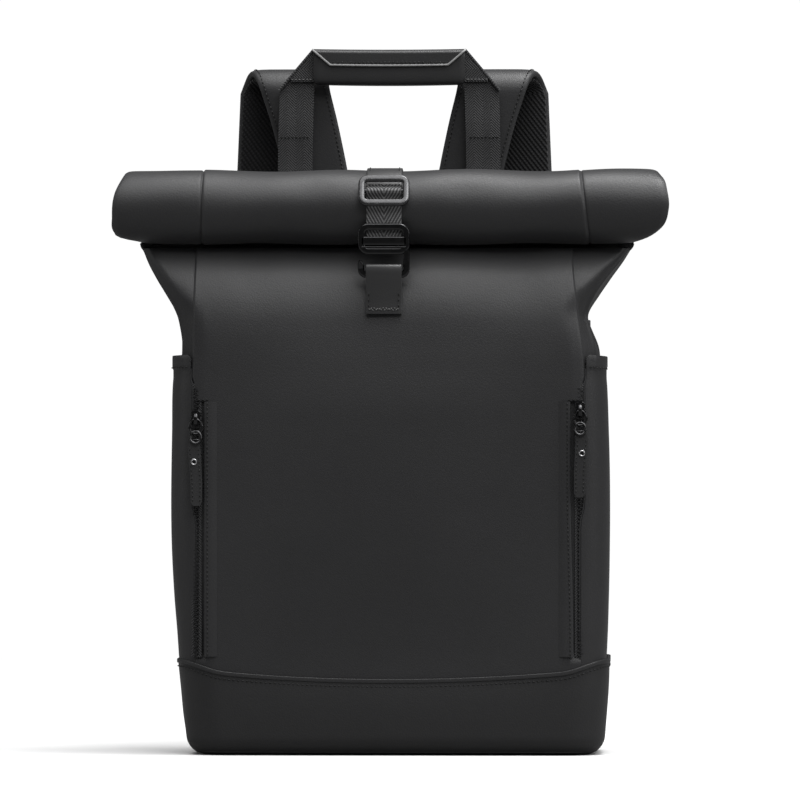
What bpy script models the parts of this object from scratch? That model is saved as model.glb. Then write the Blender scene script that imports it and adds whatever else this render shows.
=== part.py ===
"""Roll-top backpack in coated leather, built as separate sewn, moulded and cast pieces.

Metres, +Z up, front towards -Y. The origin is the centre of the base's underside.
"""

import math

import bmesh
import bpy
from mathutils import Matrix, Vector

# ---- driving dimensions -------------------------------------------------------------
gap = 0.0003  # air left between neighbouring pieces

body_width = 0.303
body_depth = 0.120
corner_radius = 0.025
leather = 0.0016  # thickness of one leather wall
neck_height = 0.352  # height of the mouth, under the roll
neck_rise = 0.090  # how far below the mouth the front begins to lean back

base_height = 0.060  # top edge of the base panel at the corners
base_dip = 0.006  # how much lower that edge is at the middle of the front
base_fillet = 0.013
panel_foot = 0.034  # how low the body panels reach inside the base panel
board_thickness = 0.003
base_clearance = 0.0010  # between the base panel and the panels that it holds

pocket_rise = 0.016  # how far a side pocket reaches above the start of the neck
pocket_room = 0.0054  # space between a side pocket and the bag

zip_inset = 0.0145  # distance of each zip's middle from the side of the bag
zip_width = 0.0044
zip_bottom = 0.068
zip_below_neck = 0.004
flap_width = 0.0120
slider_width = 0.0088
slider_drops = {"left": 0.025, "right": 0.019}  # below the top of each zip
bail_drop = 0.0100
pull_length = 0.0500
pull_width = 0.0085
pull_thickness = 0.0026
eyelet_radius = 0.0017
wire_radius = 0.0008

roll_length = 0.384
roll_radius = 0.0265
roll_above_mouth = 0.002
roll_set_back = 0.0055  # of the roll's front from the front of the bag
roll_turns = 3.0
roll_sheet = 0.003  # leather and lining together
roll_pitch = 0.0075  # distance between turns
roll_round = 0.5  # share of the first turn that keeps the full radius

strap_width = 0.025
strap_sheet = 0.0016
buckle_rail = 0.0055  # how far a buckle stands out at each side of its strap
buckle_thickness = 0.003
hook_height = 0.038
hook_drop = 0.0305  # of the hook's middle below the middle of the roll
tab_length = 0.028

handle_half = 0.065  # middle of each handle leg from the middle of the bag
handle_web = 0.024
handle_rise = 0.1395  # of the handle's top above the mouth
grip_height = 0.025
grip_thickness = 0.0125
grip_half = 0.055

shoulder_web = 0.048  # width of a shoulder strap where it leaves the bag
shoulder_pad = 0.009
shoulder_rise = 0.129  # of the folded top above the mouth
shoulder_fold = 0.0125  # radius of the fold, to the middle of the strap
shoulder_end = 0.172
lower_web = 0.020
lock_height = 0.022

yoke_drop = 0.014  # of the yoke's top below the mouth
yoke_height = 0.032
back_pad = 0.0096

half = body_width / 2
front = -body_depth / 2
back = body_depth / 2
neck_start = neck_height - neck_rise
pocket_height = neck_start + pocket_rise
zip_x = half - zip_inset
zip_top = neck_start - zip_below_neck
roll_height = neck_height + roll_above_mouth + roll_radius
roll_y = front + roll_set_back + roll_radius
buckle_width = strap_width + 2 * buckle_rail
hook_middle = roll_height - hook_drop
handle_top = neck_height + handle_rise
shoulder_top = neck_height + shoulder_rise
yoke_top = neck_height - yoke_drop
yoke_bottom = yoke_top - yoke_height


# ---- scene and helpers --------------------------------------------------------------
def clear_scene():
    for item in list(bpy.data.objects):
        bpy.data.objects.remove(item, do_unlink=True)


def new_collection(name):
    collection = bpy.data.collections.new(name)
    bpy.context.scene.collection.children.link(collection)
    return collection


clear_scene()
parts = new_collection("leather_backpack")
cutters = new_collection("cutters")


def finish(name, colour, roughness, metallic=0.0):
    material = bpy.data.materials.new(name)
    material.use_nodes = True
    shader = material.node_tree.nodes["Principled BSDF"]
    shader.inputs["Base Color"].default_value = (*colour, 1.0)
    shader.inputs["Roughness"].default_value = roughness
    shader.inputs["Metallic"].default_value = metallic
    return material


shell_leather = finish("shell_leather", (0.032, 0.032, 0.034), 0.48)
base_leather = finish("base_leather", (0.028, 0.028, 0.030), 0.45)
trim_leather = finish("trim_leather", (0.030, 0.030, 0.032), 0.42)
webbing_cloth = finish("webbing_cloth", (0.040, 0.040, 0.042), 0.85)
mesh_cloth = finish("mesh_cloth", (0.010, 0.010, 0.011), 0.95)
lining_cloth = finish("lining_cloth", (0.060, 0.060, 0.065), 0.80)
black_metal = finish("black_metal", (0.015, 0.015, 0.017), 0.30, 1.0)
silver_metal = finish("silver_metal", (0.55, 0.55, 0.56), 0.25, 1.0)
moulded_plastic = finish("moulded_plastic", (0.012, 0.012, 0.013), 0.40)
soft_foam = finish("soft_foam", (0.10, 0.10, 0.10), 0.95)
stiff_board = finish("stiff_board", (0.06, 0.06, 0.06), 0.70)


def place(name, data, material, collection=parts):
    """Adds an object that holds the given mesh or curve."""
    data.materials.append(material)
    item = bpy.data.objects.new(name, data)
    collection.objects.link(item)
    return item


def mesh_from(name, points, faces):
    mesh = bpy.data.meshes.new(name)
    mesh.from_pydata([tuple(p) for p in points], [], faces)
    mesh.update()
    return mesh


def sheet(name, rows, wall, material):
    """A panel of even thickness. Rows go bottom to top, each left to right seen from outside."""
    columns = len(rows[0])
    points = [p for row in rows for p in row]
    faces = [
        (i * columns + j, i * columns + j + 1, (i + 1) * columns + j + 1, (i + 1) * columns + j)
        for i in range(len(rows) - 1)
        for j in range(columns - 1)
    ]
    item = place(name, mesh_from(name, points, faces), material)
    thicken(item, wall)
    return item


def thicken(item, wall):
    solid = item.modifiers.new("wall", "SOLIDIFY")
    solid.thickness = wall
    solid.offset = -1.0
    solid.use_even_offset = True


def loft(name, rings, material):
    """A closed solid through rings of equal length, with flat ends."""
    count = len(rings[0])
    points = [p for ring in rings for p in ring]
    faces = [
        (i * count + j, i * count + (j + 1) % count, (i + 1) * count + (j + 1) % count, (i + 1) * count + j)
        for i in range(len(rings) - 1)
        for j in range(count)
    ]
    last = (len(rings) - 1) * count
    faces.append(tuple(reversed(range(count))))
    faces.append(tuple(range(last, last + count)))
    mesh = mesh_from(name, points, faces)
    work = bmesh.new()
    work.from_mesh(mesh)
    bmesh.ops.recalc_face_normals(work, faces=work.faces)
    work.to_mesh(mesh)
    work.free()
    return place(name, mesh, material)


def box(name, size, centre, material, bevel=0.0, collection=parts, turn=(0.0, 0.0, 0.0)):
    bpy.ops.mesh.primitive_cube_add(size=1.0)
    item = bpy.context.active_object
    for holder in list(item.users_collection):
        holder.objects.unlink(item)
    collection.objects.link(item)
    item.name = name
    item.data.name = name
    item.data.transform(Matrix.Diagonal((*size, 1.0)))
    item.data.materials.append(material)
    item.location = centre
    item.rotation_euler = turn
    if bevel:
        edge = item.modifiers.new("edge", "BEVEL")
        edge.width = bevel
        edge.segments = 2
        edge.limit_method = "ANGLE"
    return item


def plate(name, outlines, thickness, centre, turn, material):
    """A flat outline, with any holes, extruded evenly to both sides of its own plane."""
    curve = bpy.data.curves.new(name, "CURVE")
    curve.dimensions = "2D"
    curve.fill_mode = "BOTH"
    curve.extrude = thickness / 2
    for outline in outlines:
        spline = curve.splines.new("POLY")
        spline.points.add(len(outline) - 1)
        for point, (u, v) in zip(spline.points, outline):
            point.co = (u, v, 0.0, 1.0)
        spline.use_cyclic_u = True
    item = place(name, curve, material)
    item.location = centre
    item.rotation_euler = turn
    return item


def to_mesh(item):
    """Turns a curve object into a mesh object with welded caps, so that it can be cut or joined."""
    bpy.context.view_layer.update()
    mesh = bpy.data.meshes.new_from_object(item.evaluated_get(bpy.context.evaluated_depsgraph_get()))
    work = bmesh.new()
    work.from_mesh(mesh)
    bmesh.ops.remove_doubles(work, verts=work.verts, dist=0.00001)
    bmesh.ops.recalc_face_normals(work, faces=work.faces)
    work.to_mesh(mesh)
    work.free()
    name = item.name
    matrix = item.matrix_world.copy()
    collection = item.users_collection[0]
    bpy.data.objects.remove(item, do_unlink=True)
    solid = bpy.data.objects.new(name, mesh)
    collection.objects.link(solid)
    solid.matrix_world = matrix
    return solid


def combine(item, other, operation):
    """Joins or cuts item with other, which is kept as a wire guide."""
    for holder in list(other.users_collection):
        holder.objects.unlink(other)
    cutters.objects.link(other)
    other.hide_render = True
    other.display_type = "WIRE"
    step = item.modifiers.new(operation.lower(), "BOOLEAN")
    step.operation = operation
    step.solver = "EXACT"
    step.object = other


def rounded(width, height, radius, steps=4):
    """The outline of a rectangle with round corners."""
    points = []
    for corner, (sx, sy) in enumerate(((1, 1), (-1, 1), (-1, -1), (1, -1))):
        cx = sx * (width / 2 - radius)
        cy = sy * (height / 2 - radius)
        for k in range(steps + 1):
            angle = math.pi / 2 * (corner + k / steps)
            points.append((cx + radius * math.cos(angle), cy + radius * math.sin(angle)))
    return points


def hang(item, holder):
    """Parents item to an empty without moving it."""
    bpy.context.view_layer.update()
    item.parent = holder
    item.matrix_parent_inverse = holder.matrix_world.inverted()


def axis_empty(name, place_at):
    empty = bpy.data.objects.new(name, None)
    empty.empty_display_size = 0.01
    parts.objects.link(empty)
    empty.location = place_at
    return empty


upright = (math.pi / 2, 0.0, 0.0)  # a plate drawn in X and Z, facing the front
sideways = Matrix(((0, 0, 1), (1, 0, 0), (0, 1, 0))).to_euler()  # a plate drawn in Y and Z


# ---- the bag's outer form -----------------------------------------------------------
# height, change of half width, of front, of back and of corner radius, and seam distance
seam_x = zip_x - zip_width / 2 - gap
plain_seam = zip_x - gap
neck_pinch = neck_start + 0.045  # height of the narrowest place, above the side pockets
form = [
    (panel_foot, 0.0, 0.0, 0.0, 0.0, seam_x),
    (neck_start, 0.0, 0.0, 0.0, 0.0, seam_x),
    (neck_start + 0.018, -0.0030, 0.0003, 0.0, 0.0, plain_seam),
    (neck_start + 0.033, -0.0055, 0.0015, 0.0, -0.001, plain_seam),
    (neck_pinch, -0.0065, 0.0035, 0.0, -0.002, plain_seam),
    (neck_start + 0.058, -0.0020, 0.0075, -0.001, -0.005, plain_seam),
    (neck_height - 0.017, 0.0080, 0.0150, -0.011, -0.009, plain_seam),
    (neck_height - 0.007, 0.0145, 0.0225, -0.030, -0.013, plain_seam),
    (neck_height, 0.0185, 0.0290, -0.054, -0.015, plain_seam),
]
back_seam = half - corner_radius - 0.004


def section(z):
    """Half width, front, back, corner radius and seam distance at height z."""
    z = min(max(z, form[0][0]), form[-1][0])
    for low, high in zip(form, form[1:]):
        if z <= high[0]:
            t = (z - low[0]) / (high[0] - low[0])
            w, f, b, r, s = (a + t * (c - a) for a, c in zip(low[1:], high[1:]))
            return half + w, front + f, back + b, corner_radius + r, s
    raise ValueError("height outside the bag")


def edge_depth(x, w, r):
    """How far the outline has turned back from the flat face at distance x from the middle."""
    over = min(max(abs(x) - (w - r), 0.0), r)
    return r - math.sqrt(r * r - over * over)


heights = [row[0] for row in form]


def front_rows():
    rows = []
    for z in heights:
        w, f, b, r, s = section(z)
        shares = (-1.0, -0.97, -0.94, -0.85, -0.5, 0.0, 0.5, 0.85, 0.94, 0.97, 1.0)
        rows.append([(k * s, f + edge_depth(k * s, w, r), z) for k in shares])
    return rows


def back_rows():
    rows = []
    for z in heights:
        w, f, b, r, s = section(z)
        rows.append([(k * back_seam, b - edge_depth(k * back_seam, w, r), z) for k in (1.0, 0.9, 0.4, 0.0, -0.4, -0.9, -1.0)])
    return rows


def side_row(z, inset_side, inset_face, start):
    """One row round the right side, from the front seam to the back seam."""
    w, f, b, r, s = section(z)
    if z < neck_pinch:
        w = min(w, half - inset_side)
    f += inset_face
    b -= inset_face
    r -= inset_face
    row = [(start, f + edge_depth(start, w, r), z)]
    begin = math.asin(min(max((start - (w - r)) / r, 0.0), 1.0))
    for k in range(1, 5):
        angle = begin + (math.pi / 2 - begin) * k / 4
        row.append((w - r + r * math.sin(angle), f + r - r * math.cos(angle), z))
    finish_x = back_seam + gap * 2
    ending = math.asin(min(max((finish_x - (w - r)) / r, 0.0), 1.0))
    for k in range(4):
        angle = ending + (math.pi / 2 - ending) * (4 - k) / 4
        row.append((w - r + r * math.sin(angle), b - r + r * math.cos(angle), z))
    row.append((finish_x, b - edge_depth(finish_x, w, r), z))
    return row


def mirrored(rows):
    return [[(-x, y, z) for x, y, z in reversed(row)] for row in rows]


def build_shell():
    sheet("front_panel", front_rows(), leather, shell_leather)
    sheet("back_panel", back_rows(), leather, mesh_cloth)
    tuck = leather + 2 * gap
    gusset = [side_row(z, leather + pocket_room, tuck, section(z)[4] + 4 * gap) for z in heights]
    pocket_starts = zip_x + zip_width / 2 + gap
    flat = side_row(neck_start, 0.0, 0.0, pocket_starts)
    pocket = [[(x, y, z) for x, y, _ in flat] for z in (panel_foot, neck_start, pocket_height)]
    for side in ("left", "right"):
        turn = mirrored if side == "left" else list
        sheet(f"{side}_side_panel", turn(gusset), leather, shell_leather)
        sheet(f"{side}_pocket", turn(pocket), leather, shell_leather)


def outline(w, d, r, steps=5):
    """A closed ring round a rectangle with round corners, as seen from above."""
    return rounded(2 * w, 2 * d, r, steps)


def cup(name, rings, wall, material):
    """An open-topped shell: a flat floor and rings that rise from it."""
    count = len(rings[0])
    points = [p for ring in rings for p in ring]
    faces = [tuple(reversed(range(count)))]
    for i in range(len(rings) - 1):
        for j in range(count):
            k = (j + 1) % count
            faces.append((i * count + j, i * count + k, (i + 1) * count + k, (i + 1) * count + j))
    item = place(name, mesh_from(name, points, faces), material)
    thicken(item, wall)
    return item


def base_edge(x, y):
    """Height of the base panel's top edge: lowest at the middle of the front and the back."""
    return base_height - base_dip * (1 - min(abs(x) / half, 1.0) ** 2) * (abs(y) / (body_depth / 2))


def build_base():
    stand_out = base_clearance + leather
    w = half + stand_out
    d = body_depth / 2 + stand_out
    r = corner_radius + stand_out
    rings = []
    for k in range(5):
        angle = math.pi / 2 * k / 4
        inset = base_fillet * (1 - math.sin(angle))
        z = base_fillet * (1 - math.cos(angle))
        rings.append([(x, y, z) for x, y in outline(w - inset, d - inset, r - inset)])
    rings.append([(x, y, base_edge(x, y)) for x, y in outline(w, d, r)])
    cup("base_panel", rings, leather, base_leather)
    floor = leather + gap
    inset = base_fillet * 0.8
    board = rounded(2 * (half - inset), body_depth - 2 * inset, corner_radius - inset * 0.5)
    plate("base_board", [board], board_thickness, (0, 0, floor + board_thickness / 2), (0, 0, 0), stiff_board)
    return floor + board_thickness + gap


def build_inside(floor):
    lining = 0.0008
    side = half - pocket_room - 2 * leather - 2 * gap
    front_in = front + 2 * leather + 6 * gap
    foam = 0.008
    back_in = back - leather - foam - 2 * gap
    top = neck_start + 0.040
    depth = (back_in - front_in) / 2
    middle = (back_in + front_in) / 2
    low_inset = base_fillet * 0.5
    rings = []
    for z, inset in ((floor, low_inset), (floor + low_inset, 0.0015), (panel_foot, 0.0), (top, 0.0025)):
        ring = outline(side - inset, depth - inset, corner_radius - 3 * leather)
        rings.append([(x, y + middle, z) for x, y in ring])
    cup("lining", rings, lining, lining_cloth)
    foam_height = top - panel_foot
    foam_y = back - leather - gap - foam / 2
    foam_size = (2 * (back_seam - corner_radius), foam - 2 * gap, foam_height)
    box("back_foam", foam_size, (0, foam_y, panel_foot + foam_height / 2), soft_foam, 0.001)
    room = 0.022
    pad = 0.004
    sleeve_bottom = floor + lining + low_inset
    sleeve_height = top - 0.050 - sleeve_bottom
    sleeve_size = (2 * (side - 0.020), pad, sleeve_height)
    sleeve_y = back_in - lining - room - pad / 2
    box("laptop_sleeve", sleeve_size, (0, sleeve_y, sleeve_bottom + sleeve_height / 2), lining_cloth, 0.001)


# ---- zips ---------------------------------------------------------------------------
def ring_wire(name, width, height, centre, material):
    curve = bpy.data.curves.new(name, "CURVE")
    curve.dimensions = "3D"
    curve.bevel_depth = wire_radius
    curve.bevel_resolution = 2
    curve.fill_mode = "FULL"
    spline = curve.splines.new("POLY")
    loop = rounded(width, height, 0.0022, 3)
    spline.points.add(len(loop) - 1)
    for point, (u, v) in zip(spline.points, loop):
        point.co = (u, 0.0, v, 1.0)
    spline.use_cyclic_u = True
    item = place(name, curve, material)
    item.location = centre
    return item


def build_zip(side):
    sign = -1 if side == "left" else 1
    x = sign * zip_x
    w, f, b, r, s = section(zip_bottom)
    lean = math.asin((zip_x - (w - r)) / r)
    surface = f + edge_depth(zip_x, w, r)
    chain_size = (zip_width - 2 * gap, 0.0022, zip_top - zip_bottom)
    chain_at = (x, surface + 0.0007, (zip_top + zip_bottom) / 2)
    box(f"{side}_zip", chain_size, chain_at, moulded_plastic, turn=(0, 0, sign * lean))
    flap_height = zip_top - zip_bottom - 0.012
    flap_thickness = 0.0014
    flap_x = sign * (zip_x - slider_width / 2 - 2 * gap - flap_width / 2)
    flap_at = (flap_x, f - gap - flap_thickness / 2, zip_bottom + flap_height / 2)
    box(f"{side}_zip_flap", (flap_width, flap_thickness, flap_height), flap_at, shell_leather, 0.0004)

    height = zip_top - slider_drops[side]
    plate_thickness = 0.0024
    plate_y = surface - 0.0024 - plate_thickness / 2
    slider_at = Vector((x, plate_y, height))
    holder = axis_empty(f"{side}_zip_track", slider_at)
    body = box(f"{side}_zip_slider", (slider_width, plate_thickness, 0.0120), slider_at, black_metal, 0.0006)
    arch_reach = 0.0052
    arch = [(-0.0010, -0.0042), (arch_reach, -0.0034), (arch_reach, 0.0034), (-0.0010, 0.0042)]
    inner = [(0.0004, -0.0028), (arch_reach - 0.0014, -0.0022), (arch_reach - 0.0014, 0.0022), (0.0004, 0.0028)]
    bridge_y = plate_y - plate_thickness / 2
    crown = plate(f"{side}_crown", [mirror_u(arch), mirror_u(inner)], 0.0026, (x, bridge_y, height), sideways, black_metal)
    crown = to_mesh(crown)
    combine(body, crown, "UNION")
    hang(body, holder)

    axis_y = bridge_y - 0.0021
    pivot = Vector((x, axis_y, height))
    bail_axis = axis_empty(f"{side}_bail_axis", pivot)
    bail_at = pivot - Vector((0, 0, bail_drop / 2))
    bail = ring_wire(f"{side}_bail", 0.0082, bail_drop, bail_at, black_metal)
    hang(bail, bail_axis)

    knot = pivot - Vector((0, 0, bail_drop))
    pull_axis = axis_empty(f"{side}_pull_axis", knot)
    tab = build_pull(side, knot)
    for item in tab:
        hang(item, pull_axis)


def mirror_u(loop):
    """Turns an outline to face the front."""
    return [(-u, v) for u, v in reversed(loop)]


def build_pull(side, knot):
    """The leather tab below the bail's lower bar, with its loop, clip and eyelet."""
    loop_inner = wire_radius + 0.0004
    loop_outer = loop_inner + 0.0010
    neck = 0.0055
    reach = pull_length
    eye_drop = 0.0195
    chamfer = 0.0022
    wide = pull_width / 2
    start = 0.0085
    shape = [
        (-neck / 2, -loop_outer + 0.0002),
        (-neck / 2, -start + 0.002),
        (-wide, -start),
        (-wide * 0.9, -reach + chamfer),
        (-wide * 0.9 + chamfer, -reach),
        (wide * 0.9 - chamfer, -reach),
        (wide * 0.9, -reach + chamfer),
        (wide, -start),
        (neck / 2, -start + 0.002),
        (neck / 2, -loop_outer + 0.0002),
    ]
    hole_radius = eyelet_radius + 0.0009
    turns = [2 * math.pi * k / 16 for k in range(16)]
    hole = [(hole_radius * math.cos(a), -eye_drop + hole_radius * math.sin(a)) for a in turns]
    tab = plate(f"{side}_pull_tab", [shape, hole], pull_thickness, knot, upright, trim_leather)
    tab = to_mesh(tab)
    tube_out = [(loop_outer * math.cos(a), loop_outer * math.sin(a)) for a in turns]
    tube_in = [(loop_inner * math.cos(a), loop_inner * math.sin(a)) for a in turns]
    loop = to_mesh(plate(f"{side}_tab_loop", [tube_out, tube_in], neck, knot, sideways, trim_leather))
    combine(tab, loop, "UNION")

    clip_in = (neck + 2 * gap, pull_thickness + 2 * gap)
    clip_out = (clip_in[0] + 0.0020, clip_in[1] + 0.0014)
    clip_loops = [rounded(*clip_out, 0.0006, 2), rounded(*clip_in, 0.0001, 1)]
    clip_at = knot - Vector((0, 0, loop_outer + 0.0020))
    clip = plate(f"{side}_pull_clip", clip_loops, 0.0028, clip_at, (0, 0, 0), black_metal)

    tube = hole_radius - gap
    bore = [(eyelet_radius * 0.6 * math.cos(a), eyelet_radius * 0.6 * math.sin(a)) for a in turns]
    rim = [(tube * math.cos(a), tube * math.sin(a)) for a in turns]
    eye_at = knot - Vector((0, 0, eye_drop))
    eyelet = plate(f"{side}_eyelet", [rim, bore], pull_thickness + 0.0008, eye_at, upright, silver_metal)
    return tab, clip, eyelet


# ---- roll, standing collar and closing strap ----------------------------------------
roll_back = roll_y + roll_radius
hinge_y = roll_back
hinge_z = roll_height + roll_radius * 0.90


def roll_edge(radius, angle):
    """A point at an angle from the rear, turning up and over to the front."""
    return roll_y + radius * math.cos(angle), roll_height + radius * math.sin(angle)


def build_roll():
    steps = 20
    count = int(roll_turns * steps)
    begin = math.radians(62)
    outer = []
    inner = []
    for k in range(count + 1):
        turn = k / steps
        angle = begin + 2 * math.pi * turn
        radius = roll_radius - roll_pitch * max(turn - roll_round, 0.0)
        outer.append(roll_edge(radius, angle))
        inner.append(roll_edge(radius - roll_sheet, angle))
    sheet_loop = outer + inner[::-1]
    at = (0, 0, 0)
    plate("rolled_collar", [sheet_loop], roll_length, at, sideways, shell_leather)
    core = roll_radius - roll_pitch * (roll_turns - roll_round) - roll_sheet
    stay = (roll_length - 0.060, 0.0025, 1.3 * core)
    box("roll_stiffener", stay, (0, roll_y, roll_height), moulded_plastic, 0.0006)

    low = half + form[-1][1]
    high = roll_length / 2 - 0.004
    bottom = neck_height + 3 * gap
    top = roll_height + roll_radius * 0.72
    fold = 0.0034
    stand = [(-low, bottom), (low, bottom), (high, top), (-high, top)]
    collar_y = roll_back + 0.0012 + fold / 2
    plate("standing_collar", [stand], fold, (0, collar_y, 0), upright, shell_leather)
    root_y = collar_y + fold / 2 + gap + strap_sheet / 2
    root_bottom = bottom + 0.006
    root_size = (strap_width, strap_sheet, top - root_bottom)
    box("strap_root", root_size, (0, root_y, (top + root_bottom) / 2), trim_leather, 0.0004)


def arc_band(first, last, radius, wall, steps, tail=()):
    """A strap's side outline along the roll, with any straight tail below its end."""
    angles = [first + (last - first) * k / steps for k in range(steps + 1)]
    outer = [roll_edge(radius + wall, a) for a in angles]
    inner = [roll_edge(radius, a) for a in angles]
    out_y, in_y = outer[-1][0], inner[-1][0]
    outer += [(out_y, z) for z in tail]
    inner += [(in_y, z) for z in tail]
    return outer + inner[::-1]


def build_closure():
    pivot = axis_empty("strap_axis", (0, hinge_y, hinge_z))
    lie = roll_radius + 2 * gap
    over = arc_band(math.radians(66), math.radians(128), lie, strap_sheet + 0.0004, 8)
    end = plate("strap_end", [over], strap_width, (0, 0, 0), sideways, trim_leather)
    hook_top = hook_middle + hook_height / 2
    down = arc_band(math.radians(130), math.pi, lie, strap_sheet, 9, tail=(hook_top - 0.012,))
    web = plate("closure_webbing", [down], strap_width, (0, 0, 0), sideways, webbing_cloth)

    middle = math.radians(155)
    frame_height = 0.0225
    reach = lie + strap_sheet + 0.0004 + gap + buckle_thickness / 2
    frame_y, frame_z = roll_edge(reach, middle)
    window = rounded(buckle_width - 0.010, frame_height - 0.008, 0.0015)
    frame = [rounded(buckle_width, frame_height, 0.004), window]
    lean = middle - math.pi / 2
    slider = plate("strap_slider", frame, buckle_thickness, (0, frame_y, frame_z), (lean, 0, 0), black_metal)

    hook_y = roll_y - lie - strap_sheet - gap - buckle_thickness / 2
    hook = plate("hook_buckle", hook_outline(), buckle_thickness, (0, hook_y, hook_middle), upright, black_metal)
    for item in (end, web, slider, hook):
        hang(item, pivot)
    build_hook_tab(hook_y)


hook_rail = 0.0045  # width of the hook's side and lower bars


def hook_outline():
    """A ladder of two slots above an open hook whose tip points up on the left."""
    w = buckle_width / 2
    h = hook_height / 2
    rail = hook_rail
    mouth = 0.0075
    soft = 0.0035
    outer = [
        (-w, -0.001),
        (-w, h - 0.006),
        (-w + 0.002, h - 0.002),
        (-w + 0.006, h),
        (w - 0.006, h),
        (w - 0.002, h - 0.002),
        (w, h - 0.006),
        (w, -h + soft),
        (w - soft, -h),
        (-w + soft, -h),
        (-w, -h + soft),
        (-w, -0.001 - mouth),
        (-w + rail, -0.001 - mouth),
        (-w + rail, -h + rail),
        (w - rail, -h + rail),
        (w - rail, -0.001),
    ]
    slots = []
    for low, high in ((0.0020, 0.0042), (0.0102, 0.0132)):
        slots.append([(-w + rail, low), (w - rail, low), (w - rail, high), (-w + rail, high)])
    return [outer] + slots


def build_hook_tab(hook_y):
    bar_z = hook_middle - hook_height / 2 + hook_rail / 2
    pivot = axis_empty("tab_axis", (0, hook_y, bar_z))
    inner_radius = math.hypot(hook_rail, buckle_thickness) / 2 + 0.0003
    outer_radius = inner_radius + 0.0012
    half_tab = 0.0015
    turns = 14
    start = math.asin(half_tab / outer_radius)
    sweep = 2 * math.pi - 2 * start
    begin = -math.pi / 2 + start
    rim = []
    for k in range(turns + 1):
        a = begin + sweep * k / turns
        rim.append((outer_radius * math.cos(a), outer_radius * math.sin(a)))
    loop = rim + [(-half_tab, -tab_length), (half_tab, -tab_length)]
    hole = [
        (inner_radius * math.cos(2 * math.pi * k / turns), inner_radius * math.sin(2 * math.pi * k / turns))
        for k in range(turns)
    ]
    width = buckle_width - 2 * hook_rail - 0.0016
    tab = plate("hook_tab", [loop, hole], width, (0, hook_y, bar_z), sideways, trim_leather)
    hang(tab, pivot)

    loop_z = bar_z - 0.004
    loop_height = 0.012
    w, f, b, r, s = section(loop_z)
    low = section(loop_z - loop_height / 2)[1]
    high = section(loop_z + loop_height / 2)[1]
    lean = math.atan2(high - low, loop_height)
    stand_off = 0.0012
    size = (strap_width - 0.004, 0.0012, loop_height)
    box("anchor_loop", size, (0, f - stand_off - 0.0003, loop_z), trim_leather, turn=(-lean, 0, 0))


# ---- handle -------------------------------------------------------------------------
handle_y = back - 0.0037
handle_sheet = 0.0022
handle_foot = yoke_top + 0.0015


def build_handle():
    pivot = axis_empty("handle_axis", (0, handle_y, handle_foot))
    outer = handle_half + handle_web / 2
    inner = handle_half - handle_web / 2
    low = handle_top - grip_height
    bar_low = low + 0.0022
    bar_high = handle_top - 0.0022
    slant = outer - grip_half
    right = [(inner, handle_foot), (outer, handle_foot), (outer, handle_top - slant), (grip_half, bar_high)]
    left = [(-x, z) for x, z in reversed(right)]
    arch = right + left + [(-inner, bar_low), (inner, bar_low)]
    web = plate("handle_webbing", [arch], handle_sheet, (0, handle_y, 0), upright, webbing_cloth)

    grip_y = back + 0.0025 - grip_thickness / 2
    grip_low_half = grip_half - 0.009
    middle = (low + handle_top) / 2
    slope = [
        (-grip_low_half, low - middle),
        (grip_low_half, low - middle),
        (grip_half - 0.0015, handle_top - middle),
        (-grip_half + 0.0015, handle_top - middle),
    ]
    grip = to_mesh(plate("handle_grip", [slope], grip_thickness, (0, grip_y, middle), upright, trim_leather))
    edge = grip.modifiers.new("edge", "BEVEL")
    edge.width = 0.0030
    edge.segments = 2
    edge.limit_method = "ANGLE"
    slot_size = (3 * grip_half, handle_sheet + 2 * gap, bar_high - bar_low + 2 * gap)
    slot = box("grip_slot", slot_size, (0, handle_y, (bar_low + bar_high) / 2), webbing_cloth)
    combine(grip, slot, "DIFFERENCE")
    for item in (web, grip):
        hang(item, pivot)


# ---- shoulder straps and back -------------------------------------------------------
riser_y = back + 0.0030 + shoulder_pad / 2
fold_y = riser_y + shoulder_fold
fold_z = shoulder_top - shoulder_pad / 2 - shoulder_fold
fall_y = fold_y + shoulder_fold
strap_foot = yoke_top + 0.0020
swing_room = 31  # degrees of the fold left free for the swing


def riser_path():
    """Side view and width of the rising part: y, z, middle x, width."""
    path = [
        (riser_y, strap_foot, 0.045, shoulder_web),
        (riser_y, strap_foot + 0.060, 0.056, shoulder_web),
        (riser_y, fold_z, 0.068, shoulder_web + 0.002),
    ]
    stop = 180 - swing_room
    for k in range(1, 6):
        share = k / 5
        angle = math.radians(180 - stop * share)
        y = fold_y + shoulder_fold * math.cos(angle)
        z = fold_z + shoulder_fold * math.sin(angle)
        path.append((y, z, 0.068 + 0.012 * share, shoulder_web + 0.002 + 0.006 * share))
    return path


def fall_path():
    """The part that comes down behind the bag: y, z, middle x, width."""
    drop = fold_z - shoulder_end
    return [
        (fall_y, fold_z, 0.081, shoulder_web + 0.009),
        (fall_y + 0.0005, fold_z - 0.20 * drop, 0.083, shoulder_web + 0.010),
        (fall_y - 0.002, fold_z - 0.45 * drop, 0.087, shoulder_web + 0.009),
        (fall_y - 0.006, fold_z - 0.72 * drop, 0.092, shoulder_web + 0.002),
        (fall_y - 0.009, fold_z - 0.92 * drop, 0.096, shoulder_web - 0.008),
        (fall_y - 0.0095, shoulder_end, 0.097, shoulder_web - 0.016),
    ]


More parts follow.
